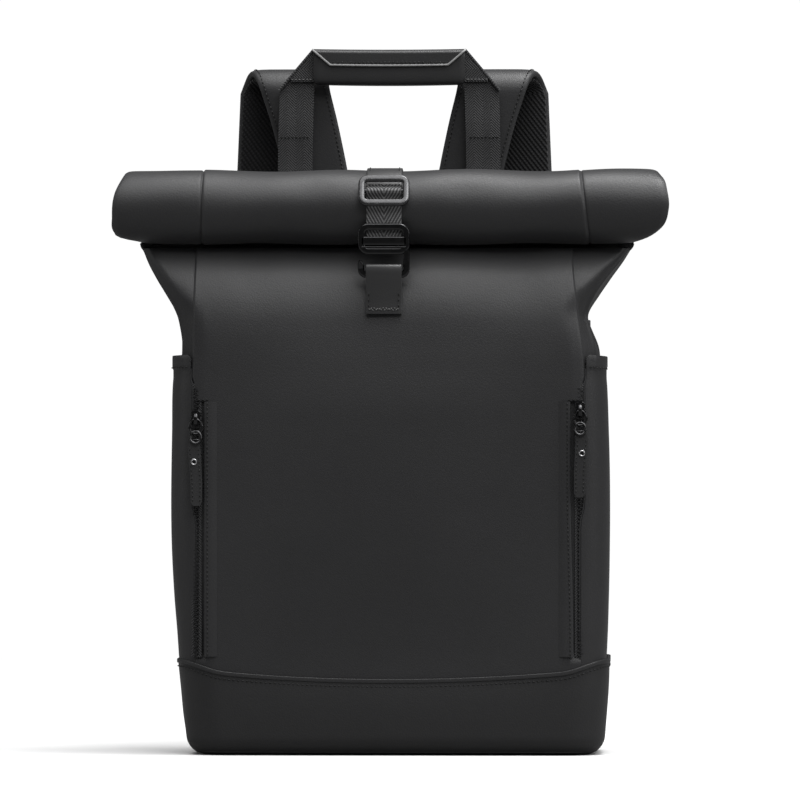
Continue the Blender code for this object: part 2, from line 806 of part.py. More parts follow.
def band(name, path, sign, low, high, material, narrow=0.0):
    """A strap along a side-view path. Low and high are distances outside its middle line."""
    rings = []
    for i, (y, z, x, width) in enumerate(path):
        before = path[max(i - 1, 0)]
        after = path[min(i + 1, len(path) - 1)]
        along = Vector((0, after[0] - before[0], after[1] - before[1])).normalized()
        outwards = Vector((0, -along.z, along.y))
        middle = Vector((sign * x, y, z))
        side = Vector((width / 2 - narrow, 0, 0))
        rings.append(
            [
                middle + outwards * high - side,
                middle + outwards * high + side,
                middle + outwards * low + side,
                middle + outwards * low - side,
            ]
        )
    return loft(name, rings, material)


def build_shoulder(side):
    sign = -1 if side == "left" else 1
    edge = shoulder_pad / 2
    cushion = 0.0022
    band(f"{side}_strap_riser", riser_path(), sign, -edge, edge, shell_leather)
    pivot = axis_empty(f"{side}_strap_axis", (0, fold_y, fold_z))
    fall = fall_path()
    strap = band(f"{side}_shoulder_strap", fall, sign, -edge + cushion + gap, edge, shell_leather)
    lining = band(f"{side}_strap_mesh", fall, sign, -edge, -edge + cushion, mesh_cloth, narrow=0.002)

    end_y, end_z, end_x, end_width = fall[-1]
    lock_z = end_z - gap - 0.001 - lock_height / 2
    lock_width = lower_web + 0.010
    slots = []
    for low, high in ((-0.0085, -0.0050), (-0.0015, 0.0020), (0.0055, 0.0085)):
        slots.append([(-lower_web / 2, low), (lower_web / 2, low), (lower_web / 2, high), (-lower_web / 2, high)])
    shape = [rounded(lock_width, lock_height, 0.003)] + slots
    lock_at = (sign * end_x, end_y, lock_z)
    lock = plate(f"{side}_ladder_lock", shape, 0.004, lock_at, upright, moulded_plastic)
    for item in (strap, lining, lock):
        hang(item, pivot)

    patch_z = base_height + 0.022
    patch_x = half - corner_radius - 0.003
    patch_half = 0.016
    patch_thickness = 0.0030
    patch_y = back + gap * 2 + patch_thickness / 2
    triangle = [(-0.006, 0.016), (-patch_half, 0.004), (-patch_half, -0.014), (0.010, -0.014), (0.010, 0.016)]
    if side == "left":
        triangle = [(-u, v) for u, v in reversed(triangle)]
    patch_at = (sign * patch_x, patch_y, patch_z)
    plate(f"{side}_strap_anchor", [triangle], patch_thickness, patch_at, upright, trim_leather)
    web_top = lock_z - lock_height / 2 - 0.0015
    web_low = patch_z + 0.016 + 2 * gap
    web = 0.0014
    path = [(patch_y, web_low, patch_x + 0.002, lower_web)]
    path.append((patch_y + 0.006, web_low + 0.016, patch_x - 0.004, lower_web))
    path.append((end_y, web_top, end_x, lower_web))
    band(f"{side}_lower_webbing", path, sign, -web / 2, web / 2, webbing_cloth)


def build_back():
    yoke_depth = 0.0116
    skin = back + gap
    yoke_size = (0.224, yoke_depth, yoke_top - yoke_bottom)
    box("strap_yoke", yoke_size, (0, skin + yoke_depth / 2, (yoke_top + yoke_bottom) / 2), trim_leather, 0.003)
    low = base_height + 0.052
    high = yoke_bottom - 0.010
    pad_y = skin + back_pad / 2
    channel = 0.030
    edge_x = 0.106
    wide = edge_x - channel / 2
    for side, sign in (("left", -1), ("right", 1)):
        at = (sign * (channel / 2 + wide / 2), pad_y, (low + high) / 2)
        box(f"{side}_back_pad", (wide, back_pad, high - low), at, mesh_cloth, 0.004)
    lumbar_low = base_height + 0.008
    lumbar_high = low - 0.008
    lumbar_size = (2 * (edge_x - 0.006), back_pad, lumbar_high - lumbar_low)
    box("lumbar_pad", lumbar_size, (0, pad_y, (lumbar_low + lumbar_high) / 2), mesh_cloth, 0.004)


build_shell()
build_inside(build_base())
for side_name in ("left", "right"):
    build_zip(side_name)
build_roll()
build_closure()
build_handle()
for side_name in ("left", "right"):
    build_shoulder(side_name)
build_back()
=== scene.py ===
import math

import bmesh
import bpy
import numpy as np
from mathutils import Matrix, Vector


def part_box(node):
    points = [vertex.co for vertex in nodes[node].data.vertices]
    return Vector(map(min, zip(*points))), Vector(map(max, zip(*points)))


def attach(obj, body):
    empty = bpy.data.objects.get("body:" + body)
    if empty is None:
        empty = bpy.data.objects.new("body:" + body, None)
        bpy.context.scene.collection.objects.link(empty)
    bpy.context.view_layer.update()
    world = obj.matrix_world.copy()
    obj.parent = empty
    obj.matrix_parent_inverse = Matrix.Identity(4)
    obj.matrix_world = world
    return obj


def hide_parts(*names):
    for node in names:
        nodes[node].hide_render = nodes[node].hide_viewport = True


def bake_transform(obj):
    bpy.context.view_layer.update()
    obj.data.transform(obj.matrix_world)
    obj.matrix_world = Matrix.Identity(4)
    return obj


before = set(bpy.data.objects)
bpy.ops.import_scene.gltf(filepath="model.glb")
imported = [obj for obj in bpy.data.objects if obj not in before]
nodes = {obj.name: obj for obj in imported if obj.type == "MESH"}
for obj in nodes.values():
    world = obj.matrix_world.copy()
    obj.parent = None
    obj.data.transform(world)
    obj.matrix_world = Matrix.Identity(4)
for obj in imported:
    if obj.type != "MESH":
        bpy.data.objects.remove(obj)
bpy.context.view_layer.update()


# shader maths: a socket that takes sums, each operator adding one Math node
class Wire:
    def __init__(self, tree, socket):
        self.tree, self.socket = tree, socket

    def maths(self, operation, *values):
        node = self.tree.nodes.new("ShaderNodeMath")
        node.operation = operation
        for slot, value in zip(node.inputs, values):
            if isinstance(value, Wire):
                self.tree.links.new(value.socket, slot)
            else:
                slot.default_value = value
        return Wire(self.tree, node.outputs[0])

    def __add__(self, other): return self.maths("ADD", self, other)
    def __radd__(self, other): return self.maths("ADD", other, self)
    def __sub__(self, other): return self.maths("SUBTRACT", self, other)
    def __rsub__(self, other): return self.maths("SUBTRACT", other, self)
    def __mul__(self, other): return self.maths("MULTIPLY", self, other)
    def __rmul__(self, other): return self.maths("MULTIPLY", other, self)
    def __truediv__(self, other): return self.maths("DIVIDE", self, other)
    def __pow__(self, other): return self.maths("POWER", self, other)
    def wave(self): return self.maths("SINE", self * (2 * math.pi)) * 0.5 + 0.5  # one crest per unit
    def zigzag(self): return self.maths("PINGPONG", self, 0.5) * 2
    def held(self): return self.maths("MINIMUM", self.maths("MAXIMUM", self, 0.0), 1.0)


class Finish:
    def __init__(self, name, **fixed):
        self.material = bpy.data.materials.new(name)
        self.material.use_nodes = True
        self.tree = self.material.node_tree
        self.shader = self.tree.nodes["Principled BSDF"]
        for key, value in fixed.items():
            self.shader.inputs[key].default_value = value

    def put(self, slot, value):
        if isinstance(value, Wire):
            self.tree.links.new(value.socket, slot)
        else:
            slot.default_value = value

    def node(self, kind, settings=None, values=None, out=0):
        node = self.tree.nodes.new(kind)
        for key, value in (settings or {}).items():
            setattr(node, key, value)
        for key, value in (values or {}).items():
            self.put(node.inputs[key], value)
        return Wire(self.tree, node.outputs[out])

    def place(self): return self.node("ShaderNodeTexCoord", out="Object")

    def noise(self, at, scale, detail=2.0, distortion=0.0):
        return self.node("ShaderNodeTexNoise", {}, {"Vector": at, "Scale": scale, "Detail": detail, "Distortion": distortion},
                         "Fac")

    def strapMap(self):
        return self.split(self.node("ShaderNodeUVMap", {"uv_map": "strapMap"}))[:2]

    def split(self, at):
        node = self.tree.nodes.new("ShaderNodeSeparateXYZ")
        self.put(node.inputs[0], at)
        return [Wire(self.tree, socket) for socket in node.outputs]

    def between(self, mask, low, high):
        return self.node("ShaderNodeMix", {"data_type": "RGBA"}, {0: mask, 6: (*low, 1), 7: (*high, 1)}, 2)

    def done(self, colour, roughness, height, depth, strength=1.0):
        self.put(self.shader.inputs["Base Color"], colour)
        self.put(self.shader.inputs["Roughness"], roughness)
        bump = self.node("ShaderNodeBump", {}, {"Height": height, "Distance": depth, "Strength": strength})
        self.put(self.shader.inputs["Normal"], bump)
        return self.material


# coated leather: soft cells with pores between them, long faint creases, and worn places a little lighter and smoother
def leather(name, look):
    m = Finish(name, **{"Specular IOR Level": look["gloss"], "Sheen Weight": look["sheen"], "Sheen Roughness": 0.5})
    at = m.place()
    cells = m.node("ShaderNodeTexVoronoi", {"feature": "SMOOTH_F1"}, {"Vector": at, "Scale": look["grain"], "Smoothness": 0.7})
    pores = m.noise(at, look["grain"] * 2.2, 3)
    creases = m.noise(at, 46, 4, 1.4)
    drift = m.noise(at, 8, 2)
    worn = m.node("ShaderNodeAttribute", {"attribute_name": "wear"}, out="Fac")
    mask = (drift * 0.5 + creases * 0.25 + cells * 0.3 + worn * 0.9).held()
    roughness = look["roughness"] + (drift - 0.5) * 0.14 + (pores - 0.5) * 0.10 - worn * 0.10
    height = cells * -0.7 + pores * 0.35 + creases * 0.5
    return m.done(m.between(mask, look["dark"], look["light"]), roughness, height, look["depth"])


# herringbone webbing: slanting ribs that turn back at each chevron, with the weft crossing them
def webbing(name, look):
    m = Finish(name, **{"Specular IOR Level": 0.35, "Sheen Weight": 0.12, "Sheen Roughness": 0.4})
    across, along = m.strapMap()
    rib = (along / look["rib"] + (across / look["chevron"]).zigzag() * look["slant"]).wave()
    weft = (along / look["weft"]).wave()
    fuzz = m.noise(m.place(), 2600, 2)
    mask = (rib ** 1.5 * 0.75 + weft * 0.12 + fuzz * 0.25 - 0.08).held()
    height = rib * 0.8 + weft * 0.2 + fuzz * 0.25
    return m.done(m.between(mask, look["dark"], look["light"]), 0.82 - mask * 0.14, height, 0.0004)


# open knit: slanting rows of holes one way, finer crossing rows the other
def knit(name, look, mapped):
    m = Finish(name, **{"Specular IOR Level": 0.25, "Sheen Weight": 0.15, "Sheen Roughness": 0.5})
    across, along = m.strapMap() if mapped else m.split(m.place())[::2]
    row = ((across * 0.8 - along * 0.6) / look["row"]).wave()
    cross = ((across * 0.6 + along * 0.8) / look["cross"]).wave()
    holes = (row * 0.65 + row * cross * 0.55).held()
    fuzz = m.noise(m.place(), 3000, 2)
    return m.done(m.between(holes * 0.85 + fuzz * 0.15, look["dark"], look["light"]), 0.92 - holes * 0.12, holes + fuzz * 0.2,
                  0.0006)


# smooth hard finishes: a fine cast texture and faint handling marks
def hard(name, dark, light, roughness, metallic, coat=0.0):
    m = Finish(name, Metallic=metallic, **{"Coat Weight": coat, "Coat Roughness": 0.12})
    at = m.place()
    marks = m.noise(at, 240, 4, 0.6)
    worn = m.node("ShaderNodeAttribute", {"attribute_name": "wear"}, out="Fac")
    return m.done(m.between((marks * 0.7 + worn).held(), dark, light), roughness + (marks - 0.5) * 0.16, m.noise(at, 1800, 2),
                  0.00003)


# plain woven cloth for the inside
def woven(name, dark, light, thread):
    m = Finish(name, **{"Sheen Weight": 0.1})
    x, y, z = m.split(m.place())
    weave = ((x + y) / thread).wave() * (z / thread).wave()
    return m.done(m.between(weave * 0.8 + m.noise(m.place(), 60) * 0.2, dark, light), 0.75 + weave * 0.1, weave, 0.0002)


leatherLook = {
    "shell": {"dark": (0.0190, 0.0190, 0.0200), "light": (0.033, 0.033, 0.0345), "roughness": 0.47, "gloss": 0.42, "sheen": 0.04,
              "grain": 950, "depth": 0.00010},
    "base": {"dark": (0.0165, 0.0165, 0.0172), "light": (0.028, 0.028, 0.029), "roughness": 0.45, "gloss": 0.42, "sheen": 0.03,
             "grain": 900, "depth": 0.00012},
    "trim": {"dark": (0.020, 0.020, 0.021), "light": (0.036, 0.036, 0.037), "roughness": 0.42, "gloss": 0.45, "sheen": 0.03,
             "grain": 1200, "depth": 0.00009},
}
shellLeather = leather("shellLeather", leatherLook["shell"])
baseLeather = leather("baseLeather", leatherLook["base"])
trimLeather = leather("trimLeather", leatherLook["trim"])
strapWebbing = webbing("strapWebbing", {"dark": (0.014, 0.014, 0.015), "light": (0.230, 0.230, 0.233), "rib": 0.0042,
                                        "chevron": 0.0246, "slant": 5.4, "weft": 0.0014})
quietWebbing = webbing("quietWebbing", {"dark": (0.014, 0.014, 0.015), "light": (0.070, 0.070, 0.072), "rib": 0.0019,
                                        "chevron": 0.0120, "slant": 3.2, "weft": 0.0006})
strapKnit = knit("strapKnit", {"dark": (0.0035, 0.0035, 0.004), "light": (0.016, 0.016, 0.017), "row": 0.0027, "cross": 0.0021},
                 True)
padKnit = knit("padKnit", {"dark": (0.0045, 0.0045, 0.005), "light": (0.022, 0.022, 0.023), "row": 0.0030, "cross": 0.0024}, False)
frameMetal = hard("frameMetal", (0.050, 0.050, 0.052), (0.105, 0.105, 0.108), 0.25, 1.0, 0.5)
blackMetal = hard("blackMetal", (0.020, 0.020, 0.021), (0.050, 0.050, 0.052), 0.24, 1.0, 0.5)
silverMetal = hard("silverMetal", (0.50, 0.50, 0.51), (0.72, 0.72, 0.73), 0.24, 1.0)
mouldedPlastic = hard("mouldedPlastic", (0.008, 0.008, 0.009), (0.020, 0.020, 0.021), 0.42, 0.0)
threadFinish = hard("threadFinish", (0.003, 0.003, 0.003), (0.012, 0.012, 0.012), 0.60, 0.0)
paleThread = hard("paleThread", (0.10, 0.10, 0.10), (0.22, 0.22, 0.22), 0.55, 0.0)
edgePaint = hard("edgePaint", (0.26, 0.26, 0.26), (0.46, 0.46, 0.46), 0.34, 0.0)
liningCloth = woven("liningCloth", (0.030, 0.030, 0.034), (0.085, 0.085, 0.092), 0.0011)
foamFinish = woven("foamFinish", (0.06, 0.06, 0.06), (0.13, 0.13, 0.13), 0.0030)
boardFinish = hard("boardFinish", (0.04, 0.04, 0.04), (0.09, 0.09, 0.09), 0.7, 0.0)
print("finishes made")


# surfaces
sides = (("left", -1), ("right", 1))


def link(name, data):
    made = bpy.data.objects.new(name, data)
    bpy.context.scene.collection.objects.link(made)
    return made


def grid(*parts):  # x, y and z of every point, each given as a row, a column or a whole array
    return np.stack(np.broadcast_arrays(*parts), -1)


def gridFaces(rows, columns, roundRows=False, roundColumns=False):
    i = np.arange(rows if roundRows else rows - 1)[:, None]
    j = np.arange(columns if roundColumns else columns - 1)[None, :]
    right, up = (j + 1) % columns, (i + 1) % rows
    return np.stack([i * columns + j, i * columns + right, up * columns + right, up * columns + j], -1).reshape(-1, 4)


def sharpen(mesh, angle):
    mesh.polygons.foreach_set("use_smooth", np.ones(len(mesh.polygons), bool))
    mesh.set_sharp_from_angle(angle=math.radians(angle))


def settle(piece, angle=44):  # the modifiers become part of the mesh, and sharp edges stay crisp
    bpy.context.view_layer.update()
    old = piece.data
    mesh = bpy.data.meshes.new_from_object(piece.evaluated_get(bpy.context.evaluated_depsgraph_get()))
    piece.modifiers.clear()
    piece.data = mesh
    bpy.data.meshes.remove(old)
    sharpen(mesh, angle)
    return piece


def faceOut(mesh):
    work = bmesh.new()
    work.from_mesh(mesh)
    bmesh.ops.remove_doubles(work, verts=work.verts, dist=0.000005)
    bmesh.ops.recalc_face_normals(work, faces=work.faces)
    work.to_mesh(mesh)
    work.free()


offMiddle = {"shift": 0.0}  # how far off the bag's middle the pieces being made are sewn


def piece(name, points, material, body=None, slotName="shell_leather", stands=(), roundRows=False, roundColumns=False,
          caps=False, wall=0.0, level=0, flat=None, wear=None, angle=44, offset=-1.0, even=True):
    points = points + np.array([offMiddle["shift"], 0, 0])
    rows, columns = points.shape[:2]
    faces = gridFaces(rows, columns, roundRows, roundColumns).tolist()
    if caps:
        faces += [list(range(columns))[::-1], list(range((rows - 1) * columns, rows * columns))]
    mesh = bpy.data.meshes.new(name)
    mesh.from_pydata(points.reshape(-1, 3).tolist(), [], faces)
    if flat is not None:
        mesh.uv_layers.new(name="strapMap")
        corner = np.zeros(len(mesh.loops), np.int32)
        mesh.loops.foreach_get("vertex_index", corner)
        mesh.uv_layers[0].data.foreach_set("uv", flat.reshape(-1, 2)[corner].astype(np.float32).ravel())
    if wear is not None:
        mesh.attributes.new("wear", "FLOAT", "POINT").data.foreach_set("value", wear.astype(np.float32).ravel())
    if caps or roundColumns or roundRows:
        faceOut(mesh)
    mesh.materials.append(material)
    made = link(name, mesh)
    if wall:
        solid = made.modifiers.new("wall", "SOLIDIFY")
        solid.thickness, solid.offset, solid.use_even_offset = wall, offset, even
    if level:
        finer = made.modifiers.new("finer", "SUBSURF")
        finer.levels = finer.render_levels = level
    if wall or level:
        settle(made, angle)
    else:
        sharpen(mesh, angle)
    if stands:
        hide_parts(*stands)
    if body:
        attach(made, body)
    return made


def unit(v):
    return v / np.maximum(np.linalg.norm(v, axis=-1, keepdims=True), 1e-12)


def runOf(path):  # how far along the path each of its points is
    return np.concatenate([[0], np.cumsum(np.linalg.norm(np.diff(path, axis=0), axis=1))])


def directions(path, closed=False):
    if closed:
        return unit(np.roll(path, -1, 0) - np.roll(path, 1, 0))
    return unit(np.gradient(path, axis=0))


# a profile carried along a path: its first number goes sideways, its second outwards, along x side
def carry(path, profile, side, widths=1.0, closed=False, thick=1.0):
    path = np.asarray(path, float)
    along = directions(path, closed)
    side = np.broadcast_to(np.asarray(side, float), path.shape)
    side = unit(side - along * (side * along).sum(-1, keepdims=True))
    out = np.cross(along, side)
    widths = np.broadcast_to(widths, len(path))[:, None, None]
    thick = np.broadcast_to(thick, len(path))[:, None, None]
    points = path[:, None] + side[:, None] * profile[None, :, :1] * widths + out[:, None] * profile[None, :, 1:] * thick
    run = runOf(path)
    flat = grid((profile[None, :, 0] * widths[..., 0]), run[:, None])
    return points, flat


def tube(name, path, profile, side, material, body, slotName, stands=(), closed=False, widths=1.0, thick=1.0, mapped=False, **more):
    points, flat = carry(path, profile, side, widths, closed, thick)
    return piece(name, points, material, body, slotName, stands, roundRows=closed, roundColumns=True, caps=not closed,
                 flat=flat if mapped else None, **more)


def roundLoop(width, height, radius, steps=4):  # a rectangle with round corners
    corner, k = np.meshgrid(np.arange(4), np.arange(steps + 1) / steps, indexing="ij")
    angle = math.pi / 2 * (corner + k)
    cx = np.array([1, -1, -1, 1])[:, None] * (width / 2 - radius)
    cy = np.array([1, 1, -1, -1])[:, None] * (height / 2 - radius)
    return np.stack([cx + radius * np.cos(angle), cy + radius * np.sin(angle)], -1).reshape(-1, 2)


def pillow(width, height, power=2.6, count=28):  # a flattened ring, rounder at its edges the lower the power
    angle = np.linspace(0, 2 * math.pi, count, endpoint=False)
    c, s = np.cos(angle), np.sin(angle)
    return np.stack([width / 2 * np.sign(c) * abs(c) ** (2 / power / 1.4), height / 2 * np.sign(s) * abs(s) ** (2 / power)], -1)


def resample(path, count, closed=False):
    path = np.asarray(path, float)
    if closed:
        path = np.vstack([path, path[:1]])
    run = runOf(path)
    at = np.linspace(0, run[-1], count, endpoint=not closed)
    return np.stack([np.interp(at, run, path[:, k]) for k in range(path.shape[1])], -1)


# a smooth line through a few stations: a cubic whose slopes come from each station's neighbours
def flow(at, stations, values):
    stations, values = np.asarray(stations, float), np.asarray(values, float)
    slope = np.gradient(values, stations, axis=0)
    k = np.clip(np.searchsorted(stations, at, side="right") - 1, 0, len(stations) - 2)
    h = stations[k + 1] - stations[k]
    t = np.clip((at - stations[k]) / h, 0, 1)
    if values.ndim > 1:
        h, t = h[..., None], t[..., None]
    return ((2 * t**3 - 3 * t**2 + 1) * values[k] + (t**3 - 2 * t**2 + t) * h * slope[k]
            + (3 * t**2 - 2 * t**3) * values[k + 1] + (t**3 - t**2) * h * slope[k + 1])


def through(points, count):  # a smooth path through a few points
    points = np.asarray(points, float)
    run = runOf(points)
    return flow(np.linspace(0, run[-1], count), run, points)


def spaced(values, least):  # sorted, without any that nearly coincide
    values = np.unique(values)
    return values[np.concatenate([[True], np.diff(values) > least])]


def step(a, b, x):
    t = np.clip((x - a) / (b - a), 0, 1)
    return t * t * (3 - 2 * t)


stitchLook = {"pitch": 0.0032, "length": 0.0023, "radius": 0.00038}


# stitches: spindles set end to end along a line, sunk at both ends
def stitches(name, path, out, body, material=None, pitch=None):
    pitch = pitch or stitchLook["pitch"]
    reach, fat = stitchLook["length"] / stitchLook["pitch"] * pitch / 2, stitchLook["radius"]
    path = np.asarray(path, float) + np.array([offMiddle["shift"], 0, 0])
    run = runOf(path)
    count = max(int(run[-1] / pitch), 1)
    at = (np.arange(count) + 0.5) * run[-1] / count

    def onPath(values, where):
        return np.stack([np.interp(where, run, values[:, k]) for k in range(3)], -1)

    middle = onPath(path, at)
    along = unit(onPath(path, at + 0.0004) - onPath(path, at - 0.0004))
    out = unit(onPath(np.broadcast_to(np.asarray(out, float), path.shape), at))
    side = np.cross(along, out)
    t = np.array([-1, -0.6, 0, 0.6, 1]) * reach
    radius = np.array([0.3, 0.9, 1, 0.9, 0.3]) * fat
    lift = np.array([-0.7, 0.25, 0.5, 0.25, -0.7]) * fat
    turn = np.arange(6) * math.pi / 3
    ring = out[:, None, None] * np.cos(turn)[None, None, :, None] + side[:, None, None] * np.sin(turn)[None, None, :, None]
    points = (middle[:, None, None] + along[:, None, None] * t[None, :, None, None]
              + out[:, None, None] * lift[None, :, None, None] + ring * radius[None, :, None, None])
    one = gridFaces(5, 6, False, True)
    faces = (one[None] + np.arange(count)[:, None, None] * 30).reshape(-1, 4).tolist()
    ends = np.array([[5, 4, 3, 2, 1, 0], [24, 25, 26, 27, 28, 29]])
    faces += (ends[None] + np.arange(count)[:, None, None] * 30).reshape(-1, 6).tolist()
    mesh = bpy.data.meshes.new(name)
    mesh.from_pydata(points.reshape(-1, 3).tolist(), [], faces)
    faceOut(mesh)
    mesh.materials.append(material or threadFinish)
    sharpen(mesh, 80)
    made = link(name, mesh)
    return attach(made, body) if body else made


# camera, backdrop and lights
shot = {"azimuth": 1.6, "distance": 6.0, "width": 0.560, "aim": (0.0066, 0.0, 0.2464)}


def makeCamera():
    angle = math.radians(shot["azimuth"])
    camera = link("camera", bpy.data.cameras.new("camera"))
    camera.data.lens = 36 * shot["distance"] / shot["width"]
    right, away = Vector((math.cos(angle), math.sin(angle), 0)), Vector((-math.sin(angle), math.cos(angle), 0))
    aim = right * shot["aim"][0] + Vector((0, 0, shot["aim"][2]))
    camera.location = aim - away * shot["distance"]
    camera.rotation_euler = (math.pi / 2, 0, angle)
    camera.data.clip_end = 30
    bpy.context.scene.camera = camera


stage = {"bounce": 0.22, "pale": 0.96, "glow": 0.10, "backdrop": 1.02}


def makeStage():
    # a round pale floor: rings about the bag, evenly spaced
    angle = np.linspace(0, 2 * math.pi, 72, endpoint=False)
    reach = np.array([0.02, 0.4, 0.8, 1.3, 2.2])
    points = grid(np.cos(angle)[None] * reach[:, None], np.sin(angle)[None] * reach[:, None], -0.0002)
    pale = Finish("paleFloor", **{"Roughness": 0.9, "Specular IOR Level": 0.1})
    seen = pale.node("ShaderNodeLightPath", out="Is Camera Ray")
    # pale to look at, with little bounce
    pale.put(pale.shader.inputs["Base Color"], pale.between(seen, (stage["bounce"],) * 3, (stage["pale"],) * 3))
    mesh = bpy.data.meshes.new("floor")
    mesh.from_pydata(points.reshape(-1, 3).tolist(), [], gridFaces(5, 72, False, True)[:, ::-1].tolist() + [list(range(72))])
    mesh.materials.append(pale.material)
    floor = link("floor", mesh)


lamps = {  # place, what it points at, size, watts
    "top": ((0.30, -0.10, 1.60), (0.03, -0.03, 0.38), (0.7, 0.5), 11),
    "right": ((1.7, -0.7, 1.1), (0, 0, 0.25), (0.6, 1.2), 7),
    "left": ((-1.9, -0.2, 0.9), (0, 0, 0.25), (0.4, 1.2), 2.5),
    "front": ((0.7, -2.2, 2.3), (0.05, 0, 0.42), (0.9, 0.5), 8.5),
}
sky = {"strength": 3.0, "softness": 75, "tilt": (14, 6)}  # a broad soft light from almost overhead


def makeLights():  # soft lamps, a broad sun as the sky, and a white surround
    for name, (at, aim, size, watts) in lamps.items():
        light = bpy.data.lights.new(name, "AREA")
        light.shape, light.size, light.size_y, light.energy = "RECTANGLE", size[0], size[1], watts
        lamp = bpy.data.objects.new(name, light)
        lamp.location = at
        lamp.rotation_euler = (Vector(aim) - Vector(at)).to_track_quat("-Z", "Y").to_euler()
        bpy.context.scene.collection.objects.link(lamp)
    sun = bpy.data.objects.new("sky", bpy.data.lights.new("sky", "SUN"))
    sun.data.energy, sun.data.angle = sky["strength"], math.radians(sky["softness"])
    sun.rotation_euler = (math.radians(sky["tilt"][0]), math.radians(sky["tilt"][1]), 0)
    bpy.context.scene.collection.objects.link(sun)
    world = bpy.data.worlds.new("studio")
    world.use_nodes = True
    tree = world.node_tree
    back = tree.nodes["Background"]
    back.inputs[0].default_value = (1, 1, 1, 1)
    seen = tree.nodes.new("ShaderNodeLightPath")
    strength = Wire(tree, seen.outputs["Is Camera Ray"]) * (stage["backdrop"] - stage["glow"]) + stage["glow"]
    tree.links.new(strength.socket, back.inputs[1])
    bpy.context.scene.world = world
    bpy.context.scene.view_settings.view_transform = "Standard"


makeCamera()
makeStage()
makeLights()
print("camera and light set")


# the bag's form
panelLow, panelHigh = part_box("front_panel")
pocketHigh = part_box("right_pocket")[1]
chainLow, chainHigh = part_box("right_zip")
bag = {"half": pocketHigh.x, "front": panelLow.y, "back": pocketHigh.y, "corner": 0.025, "foot": panelLow.z, "mouth": panelHigh.z,
       "pocketTop": pocketHigh.z, "seam": 0.1366, "backSeam": 0.1225, "wall": 0.0016}
# height, change of half width on the left and on the right, of the front, of the back, and of the corner radius
stations = np.array([
    (0.030, -0.0080, -0.0012, 0.0, 0.0, 0.0),
    (0.068, -0.0052, -0.0004, -0.0002, 0.0, 0.0),
    (0.085, -0.0042, 0.0, -0.0004, 0.0, 0.0),
    (0.106, -0.0026, 0.0002, -0.0005, 0.0, 0.0),
    (0.138, -0.0009, 0.0004, -0.0006, 0.0, 0.0),
    (0.225, -0.0006, 0.0004, -0.0004, 0.0, 0.0),
    (0.262, -0.0012, -0.0004, 0.0, 0.0, 0.0),
    (0.281, -0.0036, -0.0022, 0.0004, 0.0, 0.0),
    (0.295, -0.0034, -0.0068, 0.0015, 0.0, -0.001),
    (0.307, -0.0005, -0.0105, 0.0035, 0.0, -0.002),
    (0.320, 0.0050, -0.0065, 0.0075, -0.001, -0.005),
    (0.335, 0.0128, 0.0030, 0.0150, -0.011, -0.009),
    (0.345, 0.0178, 0.0110, 0.0225, -0.030, -0.013),
    (0.352, 0.0210, 0.0160, 0.0290, -0.054, -0.015)])


def formAt(z, sign):
    row = flow(z, stations[:, 0], stations[:, 1:])
    return (bag["half"] + np.where(sign < 0, row[..., 0], row[..., 1]), bag["front"] + row[..., 2], bag["back"] + row[..., 3],
            bag["corner"] + row[..., 4])


def turnBack(x, w, r):  # how far the outline has turned back from the flat face
    over = np.clip(abs(x) - (w - r), 0, r * 0.999)
    return r - np.sqrt(r * r - over * over)


def pinch(points, shares):  # rows that carry the top of the form on to the foot of the standing collar
    last = points[-1]
    rows = [points]
    for share in shares:
        row = last.copy()
        row[:, 1] = last[:, 1] * (1 - share) + 0.0008 * share
        row[:, 2] = bag["mouth"] + 0.0035 * share ** 2
        row[:, 0] = last[:, 0] * (1 + 0.012 * share)
        rows.append(row[None])
    return np.concatenate(rows)


front = {"crown": 0.0042, "slot": 0.0024, "slotIn": 0.1262, "edgeTurn": 0.0016}


def frontSurface(x, z):
    # the flat face, turned back towards the corners, crowned in the middle, with the zips' channels pressed in and soft hollows by the roll
    sign = np.sign(x)
    w, f, _, r = formAt(z, sign)
    y = f + turnBack(x, w, r)
    y = y - front["crown"] * np.clip(1 - (x / 0.118) ** 2, 0, 1) ** 1.3 * step(0.060, 0.16, z) * (1 - step(0.235, 0.300, z))
    y = y + 0.0010 * np.exp(-((x / 0.118) ** 2 - 0.62) ** 2 / 0.05) * step(0.29, 0.345, z)
    y = y - 0.0011 * np.sin(x * 46 + 0.6) * step(0.265, 0.335, z) * (1 - (x / 0.14) ** 2)
    low, high = chainLow.z - 0.001, 0.2445
    inSlot = step(front["slotIn"] - 0.0005, front["slotIn"] + 0.0002, abs(x)) * step(low - 0.001, low + 0.001,
            z) * (1 - step(high, high + 0.0012, z))
    return y + front["slot"] * inSlot


def seamAt(z, sign):  # the front panel's side seams lean in under the roll, more on the right
    lean = step(0.262, 0.350, z)
    zipSide = 1 - step(chainHigh.z - 0.001, chainHigh.z + 0.004, z)
    return bag["seam"] - lean * np.where(sign < 0, 0.0015, 0.0085) - 0.0018 * zipSide


def columnsFor(sharp):  # shares across a panel, closer together at the places that need it
    base = np.linspace(-1, 1, 73)
    near = np.concatenate([[s + d for d in (-0.012, -0.008, -0.004, -0.002, 0, 0.002, 0.004, 0.008)] for s in sharp])
    return spaced(np.clip(np.concatenate([base, near]), -1, 1), 0.0012)


